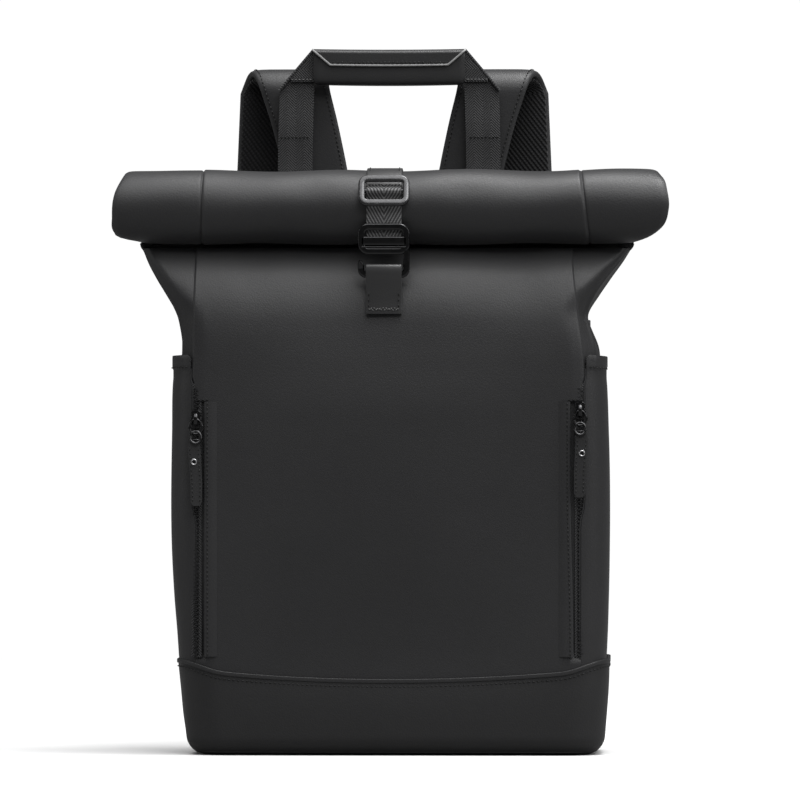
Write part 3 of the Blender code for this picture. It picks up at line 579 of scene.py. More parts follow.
def buildFront():
    # the front surface between its two seams, its edges turned in, carried on to the collar's foot
    z = spaced(np.concatenate([np.linspace(bag["foot"], bag["mouth"], 100), 0.2445 + np.linspace(-0.001, 0.002, 5)]), 0.0003)
    z[-1] = bag["mouth"]
    u = columnsFor([-0.935, 0.935, -0.985, 0.985])
    x = np.where(u[None] < 0, -1, 1) * abs(u[None]) * seamAt(z[:, None], u[None])
    zz = np.broadcast_to(z[:, None], x.shape)
    y = frontSurface(x, zz)
    tuck = step(1 - 0.010, 1, abs(u))[None] * front["edgeTurn"]  # the edge is turned in at the seam
    points = np.stack([x, y + tuck, zz], -1)
    wear = 0.25 * step(0.975, 0.997, abs(u))[None] * np.ones_like(x)
    points = pinch(points, (0.35, 0.7, 1.0))
    wear = np.vstack([wear, np.zeros((3, len(u)))])
    piece("frontPanel", points, shellLeather, "bag", "shell_leather", ["front_panel"], wall=0.0013, wear=wear)


def sideLine(u, z, sign, start, inset, rise=0.0):
    # round the side from the front seam: the front corner, the flat of the side, then the back corner to the back seam
    w, f, b, r = formAt(z, sign)
    w, f, b, r = w - inset + rise, f + inset, b - inset, r - inset
    begin = np.arcsin(np.clip((start - (w - r)) / r, 0, 1))
    ending = np.arcsin(np.clip((bag["backSeam"] + 0.0006 - (w - r)) / r, 0, 1))
    first, last = np.clip(u / 0.36, 0, 1), np.clip((1 - u) / 0.36, 0, 1)
    mid = np.clip((u - 0.36) / 0.28, 0, 1)
    a = begin + (math.pi / 2 - begin) * first
    c = ending + (math.pi / 2 - ending) * last
    x = np.where(u < 0.5, w - r + r * np.sin(a), w - r + r * np.sin(c))
    y = np.where(u < 0.36, f + r - r * np.cos(a), np.where(u > 0.64, b - r + r * np.cos(c), (f + r) * (1 - mid) + (b - r) * mid))
    x = x - np.maximum(w - r - start, 0) * np.clip(1 - u / 0.12, 0, 1)  # a seam on the flat face starts ahead of the corner
    x = x - np.maximum(w - r - bag["backSeam"], 0) * np.clip(1 - (1 - u) / 0.16, 0, 1)
    return x, y


gusset = {"folds": ((0.24, 0.30, 0.030, 0.0022), (0.40, -0.55, 0.035, -0.0026), (0.56, 0.10, 0.045, 0.0030),
                    (0.74, 0.45, 0.040, -0.0024)), "height": 0.318}


def buildSide(sign, side):
    turn = (lambda p: p[:, ::-1]) if sign < 0 else (lambda p: p)
    u, z = np.meshgrid(np.linspace(0, 1, 76), np.concatenate([np.linspace(bag["foot"], 0.262, 16),
                                                              np.linspace(0.266, bag["mouth"], 44)]))
    # gusset: inside the pocket below, and folding softly in and out as it narrows and flares above
    inset = 0.0030 + (0.0042 - 0.0030) * (1 - step(0.262, 0.300, z))
    inset = np.where(z > 0.300, 0.0004 + (inset - 0.0004) * (1 - step(0.300, 0.330, z)), inset)
    start = seamAt(z, sign) - 0.0022
    x, y = sideLine(u, z, sign, start, inset)
    window = step(0.268, 0.300, z) * (1 - 0.45 * step(0.335, 0.352, z))
    ripple = sum(a * np.exp(-((u - s - lean * (z - gusset["height"]) * 3) / wide) ** 2) for s, lean, wide, a in gusset["folds"])
    x = x + ripple * window * 0.9
    x = x - 0.0035 * np.exp(-((z - 0.300) / 0.013) ** 2) * np.sin(u * math.pi) ** 2 * (1 if sign > 0 else 0.2)
    y = y + (frontSurface(sign * start, z) + 0.0019 - y[:, :1]) * np.clip(1 - u / 0.10, 0, 1)  # tucked under the front panel's edge
    points = pinch(np.stack([sign * x, y, z], -1), (0.35, 0.7, 1.0))
    piece(f"{side}SideGusset", turn(points), shellLeather, "bag", "shell_leather", [f"{side}_side_panel"], wall=0.0013)

    # pocket: bellied a little, its top hem folded over and stitched, its front top corner rounded down
    top = bag["pocketTop"]
    v = np.concatenate([np.linspace(0, 0.9, 34), np.linspace(0.91, 1, 14)])
    u, v = np.meshgrid(np.linspace(0, 1, 90), v)
    corner = 0.0065 * np.clip(1 - u / 0.045, 0, 1) ** 2
    dip = 0.0016 * np.sin(np.clip(u, 0, 1) * math.pi) if sign > 0 else 0.0010 * np.sin(u * math.pi)
    z = bag["foot"] + (top - corner - dip - bag["foot"]) * v
    start = 0.1358 - 0.0030 * (1 - step(0.158, 0.176, z))
    start = start + (bag["seam"] + 0.0003 - start) * step(chainHigh.z - 0.002, chainHigh.z + 0.004, z)
    belly = (0.0016 if sign > 0 else 0.0006) * np.sin(np.clip((z - 0.06) / 0.2, 0, 1) * math.pi) * np.sin(u * math.pi)
    x, y = sideLine(u, np.minimum(z, 0.262), sign, start, 0.0)
    hem = step(top - 0.0100, top - 0.0092, z) * (1 - step(top - 0.0012, top, z))
    x = x + belly + 0.0007 * hem * (u > 0.1)
    y = y - 0.0006 * hem * (u < 0.12)
    y = np.where(u < 0.004, y + 0.0012, y)
    wear = 0.35 * step(top - 0.004, top - 0.0005, z) + 0.30 * (1 - step(0.0, 0.012, u))
    points = np.stack([sign * x, y, z], -1)
    piece(f"{side}SidePocket", turn(points), shellLeather, "bag", "shell_leather", [f"{side}_pocket"], wall=0.0015, wear=turn(wear))
    row = int(np.argmin(abs(v[:, 0] - (1 - 0.0082 / (top - bag["foot"])))))
    seam = points[row][3:-3]
    normal = unit(np.cross(np.gradient(seam, axis=0), (0, 0, 1.0))) * sign
    stitches(f"{side}PocketStitches", seam + normal * 0.0002, normal, "bag")
    # welt: a thin rolled edge along the pocket's front seam
    edge = points[2:-2, 0] + np.array([0, -0.0003, 0])
    tube(f"{side}PocketWelt", edge, roundLoop(0.0012, 0.0012, 0.00055, 2), (1.0, 0, 0), shellLeather, "bag", "shell_leather")


def buildBack():
    # the form's back face between its two seams, turned a little round the corners
    z = np.linspace(bag["foot"], bag["mouth"], 60)
    u = np.linspace(1, -1, 61)
    x = np.broadcast_to(u[None] * (bag["backSeam"] - 0.0002), (60, 61))
    zz = np.broadcast_to(z[:, None], x.shape)
    w, _, b, r = formAt(zz, np.sign(x))
    y = b - turnBack(x, w, r)
    points = pinch(np.stack([x, y, zz], -1), (0.35, 0.7, 1.0))
    piece("backPanel", points, padKnit, "bag", "mesh", ["back_panel"], wall=0.0013)
    for side, sign in sides:  # piping along the back seams
        edge = points[1:52, 0 if sign > 0 else -1] + np.array([sign * 0.0003, 0.0004, 0])
        tube(f"{side}BackPiping", edge, roundLoop(0.0022, 0.0022, 0.001, 3), (1.0, 0, 0), trimLeather, "bag", "trim_leather")


base = {"boardHalf": 0.1375, "boardShift": 0.0042, "half": 0.1533, "depth": 0.0619, "corner": 0.0276, "fillet": 0.013,
        "levels": (0, 0.013, 0.028, 0.045, 0.068),
        "left": (0.0126, 0.0119, 0.0099, 0.0083, 0.0060), "right": (0.0036, 0.0030, 0.0018, 0.0006, 0.0)}


def ringLoop(half, depth, radius, count=44):  # round the base from the middle of the front, seen from above
    side, face = 2 * (depth - radius), half - radius
    arc = math.pi / 2 * radius
    s = np.concatenate([np.linspace(0, face, 22)[:-1], face + np.linspace(0, arc, count // 2)[:-1],
                        face + arc + np.linspace(0, side, 12)[:-1],
                        face + arc + side + np.linspace(0, arc, count // 2)[:-1], face + 2 * arc + side + np.linspace(0, face, 18)])
    x = np.where(s < face, s, np.where(s < face + arc, face + radius * np.sin((s - face) / radius), np.where(
        s < face + arc + side, half, np.where(s < face + 2 * arc + side, face + radius * np.cos((s - face - arc - side) / radius),
                                              2 * face + 2 * arc + side - s))))
    y = np.where(s < face, -depth, np.where(s < face + arc, -depth + radius - radius * np.cos((s - face) / radius), np.where(
        s < face + arc + side, -depth + radius + s - face - arc, np.where(s < face + 2 * arc + side,
                depth - radius + radius * np.sin((s - face - arc - side) / radius), depth))))
    halfRing = np.stack([x, y], -1)
    return np.vstack([halfRing, (halfRing * [-1, 1])[::-1][1:-1]])


def baseEdge(x, y):  # the top edge: low in the middle, climbing quickly round the corners
    return 0.0530 + 0.0050 * np.clip(abs(x) / 0.12, 0, 1) ** 2 + 0.0085 * step(0.118, base["half"], abs(x)) + 0.0012 * step(0.0,
            base["depth"], y)


def buildBase():
    # rings from the floor up: a rounded fillet, then walls that climb to the curved top edge
    rings = []
    levels = np.concatenate([np.linspace(0, 1, 12), 1 + np.linspace(0, 1, 26)[1:]])
    for level in levels:
        if level <= 1:  # the fillet round the floor
            a = math.pi / 2 * level
            inset, z = base["fillet"] * (1 - math.sin(a)), base["fillet"] * (1 - math.cos(a))
            loop = ringLoop(base["half"] - inset, base["depth"] - inset, base["corner"] - inset)
            ring = np.column_stack([loop, np.full(len(loop), z)])
        else:
            loop = ringLoop(base["half"], base["depth"], base["corner"])
            z = base["fillet"] + (baseEdge(loop[:, 0], loop[:, 1]) - base["fillet"]) * (level - 1)
            ring = np.column_stack([loop, z])
        # drawn in towards the floor, more on the left
        left, right = (flow(ring[:, 2], base["levels"], base[name]) for name in ("left", "right"))
        ring[:, 0] -= np.sign(ring[:, 0]) * np.where(ring[:, 0] < 0, left, right) * np.clip(abs(ring[:, 0]) / 0.12, 0, 1) ** 2
        ring[:, 1] += 0.0016 * (1 - step(0.0, 0.045, ring[:, 2])) * np.sign(-ring[:, 1]) * np.clip(abs(ring[:, 1]) / 0.05, 0, 1)
        ring[:, 1] -= np.sign(-ring[:, 1]) * 0.0012 * np.sin(np.clip(ring[:, 2] / 0.055, 0, 1) * math.pi) * np.clip(1
                - (ring[:, 0] / 0.13) ** 2, 0, 1)
        rings.append(ring)
    rings = np.array(rings)
    middle = rings[0].mean(0) * [0, 0, 1]
    floor = [middle[None] + (rings[0] - middle) * s for s in (0.02, 0.5, 0.9)]
    for ring in floor:
        ring[:, 2] = 0.0
    points = np.concatenate([np.array(floor), rings])
    # the top edge is folded outwards into a narrow stitched band
    out = unit(np.column_stack([rings[-1][:, 0] / base["half"] ** 2 * (abs(rings[-1][:, 0]) > base["half"] - base["corner"]),
                                rings[-1][:, 1] / base["depth"] ** 2, np.zeros(len(rings[-1]))]))
    wear = np.zeros(points.shape[:2])
    wear[-2:] = 0.35
    wear[3:12] = 0.18
    piece("basePanel", points, baseLeather, "bag", "base_leather", ["base_panel"], roundColumns=True, wall=0.0015, wear=wear)
    edge = rings[-1].copy()
    profile = roundLoop(0.0009, 0.0028, 0.0004, 3)
    band, _ = carry(edge + out * 0.0003 - np.array([0, 0, 0.0014]), profile[:, ::-1], (0, 0, 1.0), closed=True)
    piece("baseBand", band, baseLeather, "bag", "base_leather", roundRows=True, roundColumns=True,
          wear=np.full(band.shape[:2], 0.45))
    line = np.vstack([edge, edge[:1]])
    outs = np.vstack([out, out[:1]])
    drop = np.array([0, 0, 0.0052])
    stitches("baseStitches", line - drop + outs * 0.0002, outs, "bag")
    # stiff board inside, drawn in on the left as the base is
    boardLow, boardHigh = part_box("base_board")
    loop = ringLoop(base["boardHalf"], base["depth"] - 0.0070, base["corner"] - 0.0080)
    board = np.stack([np.column_stack([loop + [base["boardShift"], 0], np.full(len(loop), z)]) for z in np.linspace(boardLow.z,
            boardHigh.z, 4)])
    piece("baseBoard", board, boardFinish, "bag", "board", ["base_board"], roundColumns=True, caps=True)


buildFront()
for side, sign in sides:
    buildSide(sign, side)
buildBack()
buildBase()
print("shell built")


# roll and standing collar
roll = {"radius": 0.0262, "y": -0.0280, "z": 0.3805, "from": 62, "turns": 2.7, "pitch": 0.0075, "wall": 0.0026, "leftSeam": 0.162,
        "rightSeam": 0.856}


def rollEnds(s):  # half lengths at a height share: the lower corners stand out, the top is drawn in
    left = flow(s, [-1, -0.87, -0.72, -0.28, 0.45, 0.80, 1], [0.1750, 0.1880, 0.1912, 0.1922, 0.1900, 0.1862, 0.1838])
    right = flow(s, [-1, -0.85, -0.68, -0.07, 0.45, 0.80, 1], [0.1715, 0.1815, 0.1875, 0.1945, 0.1935, 0.1910, 0.1868])
    return left, right


def rollPoint(turn, share):
    # a spiral: full radius for the first half turn, then a pitch less each turn; sags at the strap, swells between, closes in at the ends
    angle = np.radians(roll["from"]) + 2 * math.pi * turn
    left, right = rollEnds(np.clip(np.sin(angle), -1, 1))
    inner = np.maximum(turn - 0.5, 0)
    height = np.clip(np.sin(angle), -1, 1)
    leftSeam, rightSeam = -0.1300 + 0.0006 * height, 0.1363 - 0.0032 * height
    ls, rs = roll["leftSeam"], roll["rightSeam"]
    x = np.where(share < ls, -left + (leftSeam + left) * share / ls,
                 np.where(share > rs, rightSeam + (right - rightSeam) * (share - rs) / (1 - rs),
                                                                            leftSeam + (rightSeam - leftSeam) * (share - ls) / (rs - ls)))
    x = np.where(share < 0.5, x + 0.0011 * inner, x - 0.0011 * inner)
    near = np.minimum(share, 1 - share) * 0.385
    top = np.clip(np.sin(angle), 0, 1)
    radius = roll["radius"] - roll["pitch"] * inner
    radius = radius - 0.0016 * np.exp(-near / 0.0022) - 0.0005 * np.exp(-near / 0.020)
    radius = radius - 0.0013 * np.exp(-(x / 0.030) ** 2) * top + 0.0007 * np.sin(x * 31 + 1.1) * (0.4 + 0.6 * top)
    radius = radius + 0.0005 * np.sin(x * 67 + 2.3 * angle) + 0.0012 * top * step(0.09, 0.16, x)
    radius = radius - 0.0009 * np.exp(-((abs(x + 0.004) - 0.052) / 0.016) ** 2) * np.exp(-((angle - 2.6) / 0.5) ** 2)
    for seam, outward in ((roll["leftSeam"], -1), (roll["rightSeam"], 1)):
        d = (share - seam) * 0.385
        radius = radius - 0.0011 * np.exp(-(d / 0.0008) ** 2) - 0.0005 * step(-0.0006, 0.0006, d * outward)
    return np.stack([x, roll["y"] + radius * np.cos(angle), roll["z"] + radius * np.sin(angle)], -1)


def rollShares():
    fine = [s + d / 0.385 for s in (roll["leftSeam"], roll["rightSeam"]) for d in (-0.003, -0.0018, -0.0011, -0.0006, 0, 0.0006,
            0.0011, 0.0018, 0.003)]
    ends = np.array([0.0, 0.0015, 0.003, 0.005, 0.008, 0.012, 0.017]) / 0.385
    return spaced(np.concatenate([np.linspace(0.05, 0.95, 96), ends, 1 - ends, fine]), 0.0009)[::-1]


def buildRoll():
    shares = rollShares()
    turn = np.concatenate([np.linspace(0, 1.1, 70)[:-1], np.linspace(1.1, roll["turns"], 50)])
    points = rollPoint(turn[:, None], shares[None])
    edge = 0.35 * (np.minimum(shares, 1 - shares) * 0.385 < 0.004)
    for seam in (roll["leftSeam"], roll["rightSeam"]):
        edge = edge + 0.55 * np.exp(-(((shares - seam) * 0.385 - np.sign(seam - 0.5) * -0.0012) / 0.0007) ** 2)
    wear = np.broadcast_to(edge[None], points.shape[:2])
    piece("rolledTop", points, shellLeather, "roll", "shell_leather", ["rolled_collar"], wall=roll["wall"], wear=wear, even=False)
    # collar: stands up behind the roll and turns over into it
    first = rollPoint(0.0, shares)
    low = np.where(shares < 0.5, 0.1745, 0.1695)
    foot = np.stack([(shares * 2 - 1) * low, np.full_like(shares, 0.0016), np.full_like(shares, bag["mouth"] + 0.0028)], -1)
    keys = np.array([0, 0.35, 0.60, 0.78, 0.90, 1.0])
    y = np.array([0.0016, 0.0019, 0.0018, 0.0014, -0.0042, 0.0])
    z = np.array([0.3548, 0.3720, 0.3830, 0.3915, 0.3990, 0.0])
    rows = []
    for k, share in enumerate(keys):
        widen = step(0, 0.9, share)
        row = foot * (1 - widen) + first * widen
        row[:, 1], row[:, 2] = y[k] + 0.0006 * np.sin(shares * 40), z[k]
        rows.append(first if k == len(keys) - 1 else row)
    points = flow(np.linspace(0, 1, 34), keys, np.array(rows).reshape(len(keys), -1)).reshape(34, len(shares), 3)
    made = piece("standingCollar", points, shellLeather, None, "shell_leather", ["standing_collar"], wall=roll["wall"])
    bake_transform(made)


# closing strap
closure = {"middle": -0.0030, "width": 0.0248, "leather": 0.0019, "web": 0.0017, "sliderAngle": 159, "hookY": -0.0585,
           "frame": (0.0308, 0.0180, 0.0040), "ladder": (0.0312, 0.0170, 0.0050), "ladderZ": 0.3580,
           "tabWidth": 0.0248, "tabThick": 0.0014}


def roundRoll(radius, angle):  # points round the roll, in the strap's plane
    angle = np.radians(angle)
    return np.stack([np.zeros_like(angle), roll["y"] + radius * np.cos(angle), roll["z"] + radius * np.sin(angle)], -1)


# a rectangle carried along a path
def bar(name, path, width, thick, side, body, material, slotName, stands=(), soft=0.0009, **more):
    profile = roundLoop(width, thick, min(soft, thick * 0.45, width * 0.45), 3)
    return tube(name, path, profile, side, material, body, slotName, stands, angle=50, **more)


def buildClosure():  # straps and bars are rectangles carried along paths in the strap's own plane
    width = closure["width"]
    # leather end: up behind the collar, over the top, and under the frame
    over = roundRoll(roll["radius"] + 0.0003, np.linspace(72, 150, 26))
    rear = np.array([[0, 0.0048, 0.3590], [0, 0.0050, 0.3760], [0, 0.0048, 0.3920], [0, -0.0010, 0.4000], [0, -0.0095, 0.4055]])
    rear = through(rear, 26)
    path = through(np.vstack([rear[::3], over[1::3]]), 60)
    profile = roundLoop(width, closure["leather"], 0.0007, 3)
    points, _ = carry(path, profile, (1.0, 0, 0))
    wear = np.broadcast_to((abs(profile[:, 0]) > width / 2 - 0.0012) * 0.4, points.shape[:2])
    made = piece("strapEnd", points, trimLeather, None, "trim_leather", ["strap_end", "strap_root"], roundColumns=True, caps=True,
                 wear=wear)
    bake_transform(made)
    for side, x in (("left", -width / 2 + 0.0022), ("right", width / 2 - 0.0022)):
        line = over[3:15] + [x, 0, 0]
        out = unit(line - [x, roll["y"], roll["z"]])
        stitches(f"{side}StrapEndStitches", line + out * 0.0010, out, "closure_strap")

    # webbing: under the frame's top rail, over its middle bar, under the lower rail, then down to the hook
    angle = np.linspace(147, 180, 40)
    lift = 0.0014 + 0.0036 * np.exp(-((angle - closure["sliderAngle"]) / 5.2) ** 2)
    web = np.stack([np.zeros(40), roll["y"] + (roll["radius"] + lift) * np.cos(np.radians(angle)),
                    roll["z"] + (roll["radius"] + lift) * np.sin(np.radians(angle))], -1)
    tail = np.column_stack([np.zeros(16), web[-1, 1] + (closure["hookY"] + 0.0021 - web[-1, 1])
                            * step(0, 0.55, np.linspace(0, 1, 16)), np.linspace(0.3790, 0.3575, 16)])
    path = resample(np.vstack([web, tail]), 90)
    tube("closureWebbing", path, roundLoop(width - 0.0004, closure["web"], 0.0007, 2), (1.0, 0, 0), strapWebbing, "closure_strap",
         "webbing", ["closure_webbing"], mapped=True)

    # frame: a flat rounded loop with a middle bar, leaning with the roll
    lean = math.radians(closure["sliderAngle"])
    reach = roll["radius"] + 0.0046
    centre = np.array([0, roll["y"] + reach * math.cos(lean), roll["z"] + reach * math.sin(lean)])
    up = np.array([0, math.sin(lean), -math.cos(lean)])
    out = np.array([0, math.cos(lean), math.sin(lean)])
    loop = resample(roundLoop(*closure["frame"], 6), 88, True)
    path = centre + loop[:, :1] * [1.0, 0, 0] + loop[:, 1:] * up
    profile = roundLoop(0.0030, 0.0048, 0.0011, 3)
    tube("strapFrame", path, profile, out, frameMetal, "closure_strap", "black_metal", ["strap_slider"], angle=60, closed=True)
    bar("strapFrameBar", centre - out * 0.0006 + np.linspace(-0.0150, 0.0150, 12)[:, None] * [1.0, 0, 0], 0.0030, 0.0026, out,
        "closure_strap", blackMetal, "black_metal")

    # hook: a ladder of bars over an open hook whose tip points up on the left
    y = closure["hookY"]

    def flatPath(uv):
        return np.column_stack([uv[:, 0], np.full(len(uv), y), uv[:, 1]])

    outward = (0, -1.0, 0)
    ladder = resample(roundLoop(*closure["ladder"], 6), 88, True) + [0, closure["ladderZ"]]
    tube("hookLadder", flatPath(ladder), roundLoop(0.0032, 0.0048, 0.0011, 3), outward, blackMetal, "closure_strap", "black_metal",
         ["hook_buckle"], angle=60, closed=True)
    for name, z, tall, thick in (("hookMiddleBar", 0.3566, 0.0062, 0.0032), ("hookLip", 0.3524, 0.0008, 0.0040)):
        bar(name, flatPath(np.column_stack([np.linspace(-0.0152, 0.0152, 12), np.full(12, z)])), thick, tall, outward,
            "closure_strap", blackMetal, "black_metal")
    a = np.linspace(0, math.pi / 2, 10)
    right = np.column_stack([np.full(10, 0.0157), np.linspace(0.3500, 0.3372, 10)])
    turn1 = np.column_stack([0.0157 - 0.0038 + 0.0038 * np.cos(a), 0.3370 - 0.0038 * np.sin(a)])
    turn2 = np.column_stack([-0.0120 - 0.0037 * np.sin(a), 0.3369 - 0.0037 * np.cos(a)])
    tip = np.column_stack([[-0.0159, -0.0162, -0.0168], [0.3390, 0.3412, 0.3432]])
    hookPath = flatPath(resample(np.vstack([right, turn1, turn2, tip]), 70))
    hookPath[-8:, 1] -= np.linspace(0, 0.0011, 8)
    taper = np.ones(70)
    taper[-6:] = [0.97, 0.92, 0.84, 0.72, 0.55, 0.30]
    tube("hookArm", hookPath, roundLoop(0.0032, 0.0045, 0.0011, 3), outward, blackMetal, "closure_strap", "black_metal", angle=60,
         thick=taper)

    # loop sewn flat on the front, just behind the hook's lower bar
    loopLow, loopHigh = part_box("anchor_loop")
    z = np.linspace(loopLow.z, loopHigh.z, 12)
    bar("anchorLoop", np.column_stack([np.zeros(12), frontSurface(np.zeros(12), z) - 0.0003, z]), loopHigh.x - loopLow.x, 0.0011,
        (1.0, 0, 0), "bag", trimLeather, "trim_leather", ["anchor_loop"], soft=0.0005)

    # tab: one strap folded round the hook's lower bar, both ends sewn together
    side = np.array([(0.0008, 0.3062), (0.0008, 0.3200), (0.0016, 0.3270), (0.0032, 0.3318), (0.0033, 0.3350), (0.0018, 0.3385),
                     (-0.0004, 0.3398),
                     (-0.0029, 0.3395), (-0.0035, 0.3376), (-0.0034, 0.3315), (-0.0022, 0.3262), (-0.0008, 0.3200), (-0.0008,
                             0.3062)])
    path = through(np.column_stack([np.zeros(len(side)), side[:, 0] + y, side[:, 1]]), 80)
    profile = roundLoop(closure["tabWidth"], closure["tabThick"], 0.0006, 3)
    points, _ = carry(path, profile, (1.0, 0, 0))
    wear = np.broadcast_to((abs(profile[:, 0]) > 0.0114) * 0.75, points.shape[:2]).copy()
    wear[-2:] = 0.9
    piece("hookTab", points, trimLeather, "hook_tab", "trim_leather", ["hook_tab"], roundColumns=True, caps=True, wear=wear)
    zig = np.column_stack([np.linspace(-0.0105, 0.0105, 22), np.full(22, y - 0.0016), 0.3094 + 0.0008 * (-1.0) ** np.arange(22)])
    stitches("tabHemStitches", zig, (0, -1, 0), "hook_tab", paleThread, pitch=0.0021)
    for name, x in (("left", -0.0104), ("right", 0.0104)):
        stitches(f"{name}TabStitches", np.array([[x, y - 0.0016, 0.3215], [x, y - 0.0016, 0.3098]]), (0, -1, 0), "hook_tab")


buildRoll()
offMiddle["shift"] = closure["middle"]
buildClosure()
offMiddle["shift"] = 0.0
print("roll and closing strap built")


# handle
handle = {"middle": -0.0025, "y": 0.0563, "top": 0.4940, "low": 0.4690, "half": 0.0534, "thick": 0.0122, "inner": 0.0530,
          "outer": 0.0772, "foot": 0.3395, "web": 0.0021,
          "flapDrop": 0.0086, "flapCut": 0.0122}


def buildHandle():
    low, top, half = handle["low"], handle["top"], handle["half"]
    middle, y0 = (low + top) / 2, handle["y"]
    # grip: a padded sleeve round the webbing, swelling towards its middle
    t = np.linspace(0, 2 * math.pi, 48, endpoint=False)
    x = np.concatenate([[-half], -half + np.array([0.0006, 0.0016]), np.linspace(-half + 0.004, half - 0.004, 40),
                        half - np.array([0.0016, 0.0006]), [half]])
    c, s = np.cos(t), np.sin(t)
    y = handle["thick"] / 2 * np.sign(c) * abs(c) ** 0.62
    z = (top - low) / 2 * np.sign(s) * abs(s) ** 0.55
    swell = (1 - 0.10 * (abs(x) / half) ** 6)[:, None]
    endRound = np.where(abs(x) > half - 0.0013, 0.90, 1.0)[:, None]
    droop = -0.0008 * (1 - (x / half) ** 2)[:, None]
    points = grid(x[:, None], y0 + y[None] * swell * endRound, middle + z[None] * endRound + droop)
    made = piece("handleGrip", points, trimLeather, "handle", "trim_leather", ["handle_grip"], roundColumns=True, caps=True)

    # flap: a second layer over the top, its ends cut back at a slant, its edges painted
    drop = handle["flapDrop"]
    u = np.linspace(-1, 1, 61)
    v = np.concatenate([np.linspace(-1, -0.30, 18), np.linspace(-0.25, 0.25, 12), np.linspace(0.30, 1, 18)])
    flapHalf = (half + 0.0004) - handle["flapCut"] * np.clip((abs(v) - 0.16) / 0.84, 0, 1)
    angle = np.clip(abs(v) / 0.30, 0, 1) * math.pi / 2
    fy = np.sign(v) * (handle["thick"] / 2 + 0.0006) * np.sin(angle) ** 0.8
    fz = np.where(abs(v) < 0.30, top + 0.0004 - 0.0028 * (1 - np.cos(angle)), top - 0.0024 - drop * (abs(v) - 0.30) / 0.70)
    xs = u[:, None] * flapHalf[None]
    fy = fy[None] * (1 - 0.02 * (abs(u[:, None])) ** 6)
    flapPoints = grid(xs, y0 + fy, fz[None] + droop.mean() * (1 - u[:, None] ** 2))
    wear = np.broadcast_to(np.clip((abs(v) - 0.86) / 0.1, 0, 1) * 0.3, xs.shape)
    piece("handleFlap", flapPoints, trimLeather, "handle", "trim_leather", wall=0.0009, wear=wear, offset=1.0)
    for side, col in (("front", 0), ("rear", -1)):
        sign = -1 if side == "front" else 1
        line = np.vstack([flapPoints[0, :22][::-1] if side == "front" else flapPoints[0, 26:], flapPoints[:, col],
                          flapPoints[-1, :22] if side == "front" else flapPoints[-1, 26:][::-1]])
        keep = np.concatenate([[True], np.linalg.norm(np.diff(line, axis=0), axis=1) > 1e-5])
        line = resample(line[keep], 110) + [0, sign * 0.0004, 0]
        tube(f"{side}FlapEdge", line, roundLoop(0.0013, 0.0014, 0.0006, 2), (0, 1.0, 0), edgePaint, "handle", "trim_leather")
        sew = np.column_stack([np.linspace(-0.0405, 0.0405, 40), np.full(40, y0 + sign * (handle["thick"] / 2 + 0.0012)),
                               np.full(40, top - 0.0024 - drop + 0.0022 + droop.mean())])
        stitches(f"{side}FlapStitches", sew, (0, sign, 0), "handle", pitch=0.0030)

    # legs: webbing from the back of the bag, cut off along a slant where it folds into the grip
    for side, sign in sides:
        u = np.linspace(0, 1, 13)
        v = np.linspace(0, 1, 60)
        x = handle["inner"] + (handle["outer"] - handle["inner"]) * u
        slant = top - 0.0006 - 1.18 * (x - handle["inner"])
        z = handle["foot"] + (slant[None] - handle["foot"]) * v[:, None]
        bow = np.sin(np.clip((z - handle["foot"]) / 0.13, 0, 1) * math.pi)
        xx = x[None] + 0.0014 * bow
        yy = y0 - 0.0016 * bow + 0.0004 * np.sin(z * 140)
        points = grid(sign * xx, yy - handle["web"] / 2, z)
        flat = grid(xx, z)
        if sign < 0:
            points, flat = points[:, ::-1], flat[:, ::-1]
        piece(f"{side}HandleLeg", points, quietWebbing, "handle", "webbing", ["handle_webbing"] if sign < 0 else (),
              wall=handle["web"], flat=flat)
        # the folded corner lies in front of the leg
        v = np.linspace(0, 1, 14)
        floor = low + 0.0022
        z = floor + (slant[None] - 0.0010 - floor) * v[:, None]
        z = np.maximum(z, np.minimum(floor, slant[None] - 0.0012))
        keep = slant > floor + 0.0014
        xx = np.broadcast_to(x[None] + 0.0004, z.shape)[:, keep]
        corner = np.stack([sign * xx, np.full_like(xx, y0 - handle["web"] / 2 - 0.0003), z[:, keep]], -1)
        flat = np.stack([z[:, keep], xx], -1)
        if sign < 0:
            corner, flat = corner[:, ::-1], flat[:, ::-1]
        piece(f"{side}HandleCorner", corner, quietWebbing, "handle", "webbing", wall=0.0011, flat=flat, offset=1.0)
        line = np.column_stack([sign * (x + 0.0006), np.full(13, y0 - 0.0012), slant + 0.0002])
        tube(f"{side}HandleFold", line, roundLoop(0.0030, 0.0021, 0.0009, 3), (0, 1.0, 0), quietWebbing, "handle", "webbing",
             mapped=True)
        sew = np.array([[sign * (handle["inner"] + 0.0012), y0 - 0.0026, floor + 0.0016],
                        [sign * (handle["inner"] + 0.0170), y0 - 0.0026, floor + 0.0016]])
        stitches(f"{side}CornerStitches", sew, (0, -1, 0), "handle", paleThread, pitch=0.0024)
        x1 = np.linspace(handle["inner"] + 0.0034, handle["outer"] + 0.0002, 8)
        sew = np.column_stack([sign * x1, np.full(8, y0 - 0.0016 - handle["web"] / 2 - 0.0002), np.full(8, 0.4320)])
        stitches(f"{side}LegStitches", sew, (0, -1, 0), "handle", pitch=0.0024)


offMiddle["shift"] = handle["middle"]
buildHandle()
offMiddle["shift"] = 0.0
print("handle built")


# shoulder straps
shoulder = {"thick": 0.0090, "knit": 0.0026, "foldY": 0.0800, "foldZ": 0.4640, "fold": 0.0125, "end": 0.1720,
            "lock": (0.0262, 0.0182, 0.0030), "webWidth": 0.0200, "webThick": 0.0014}


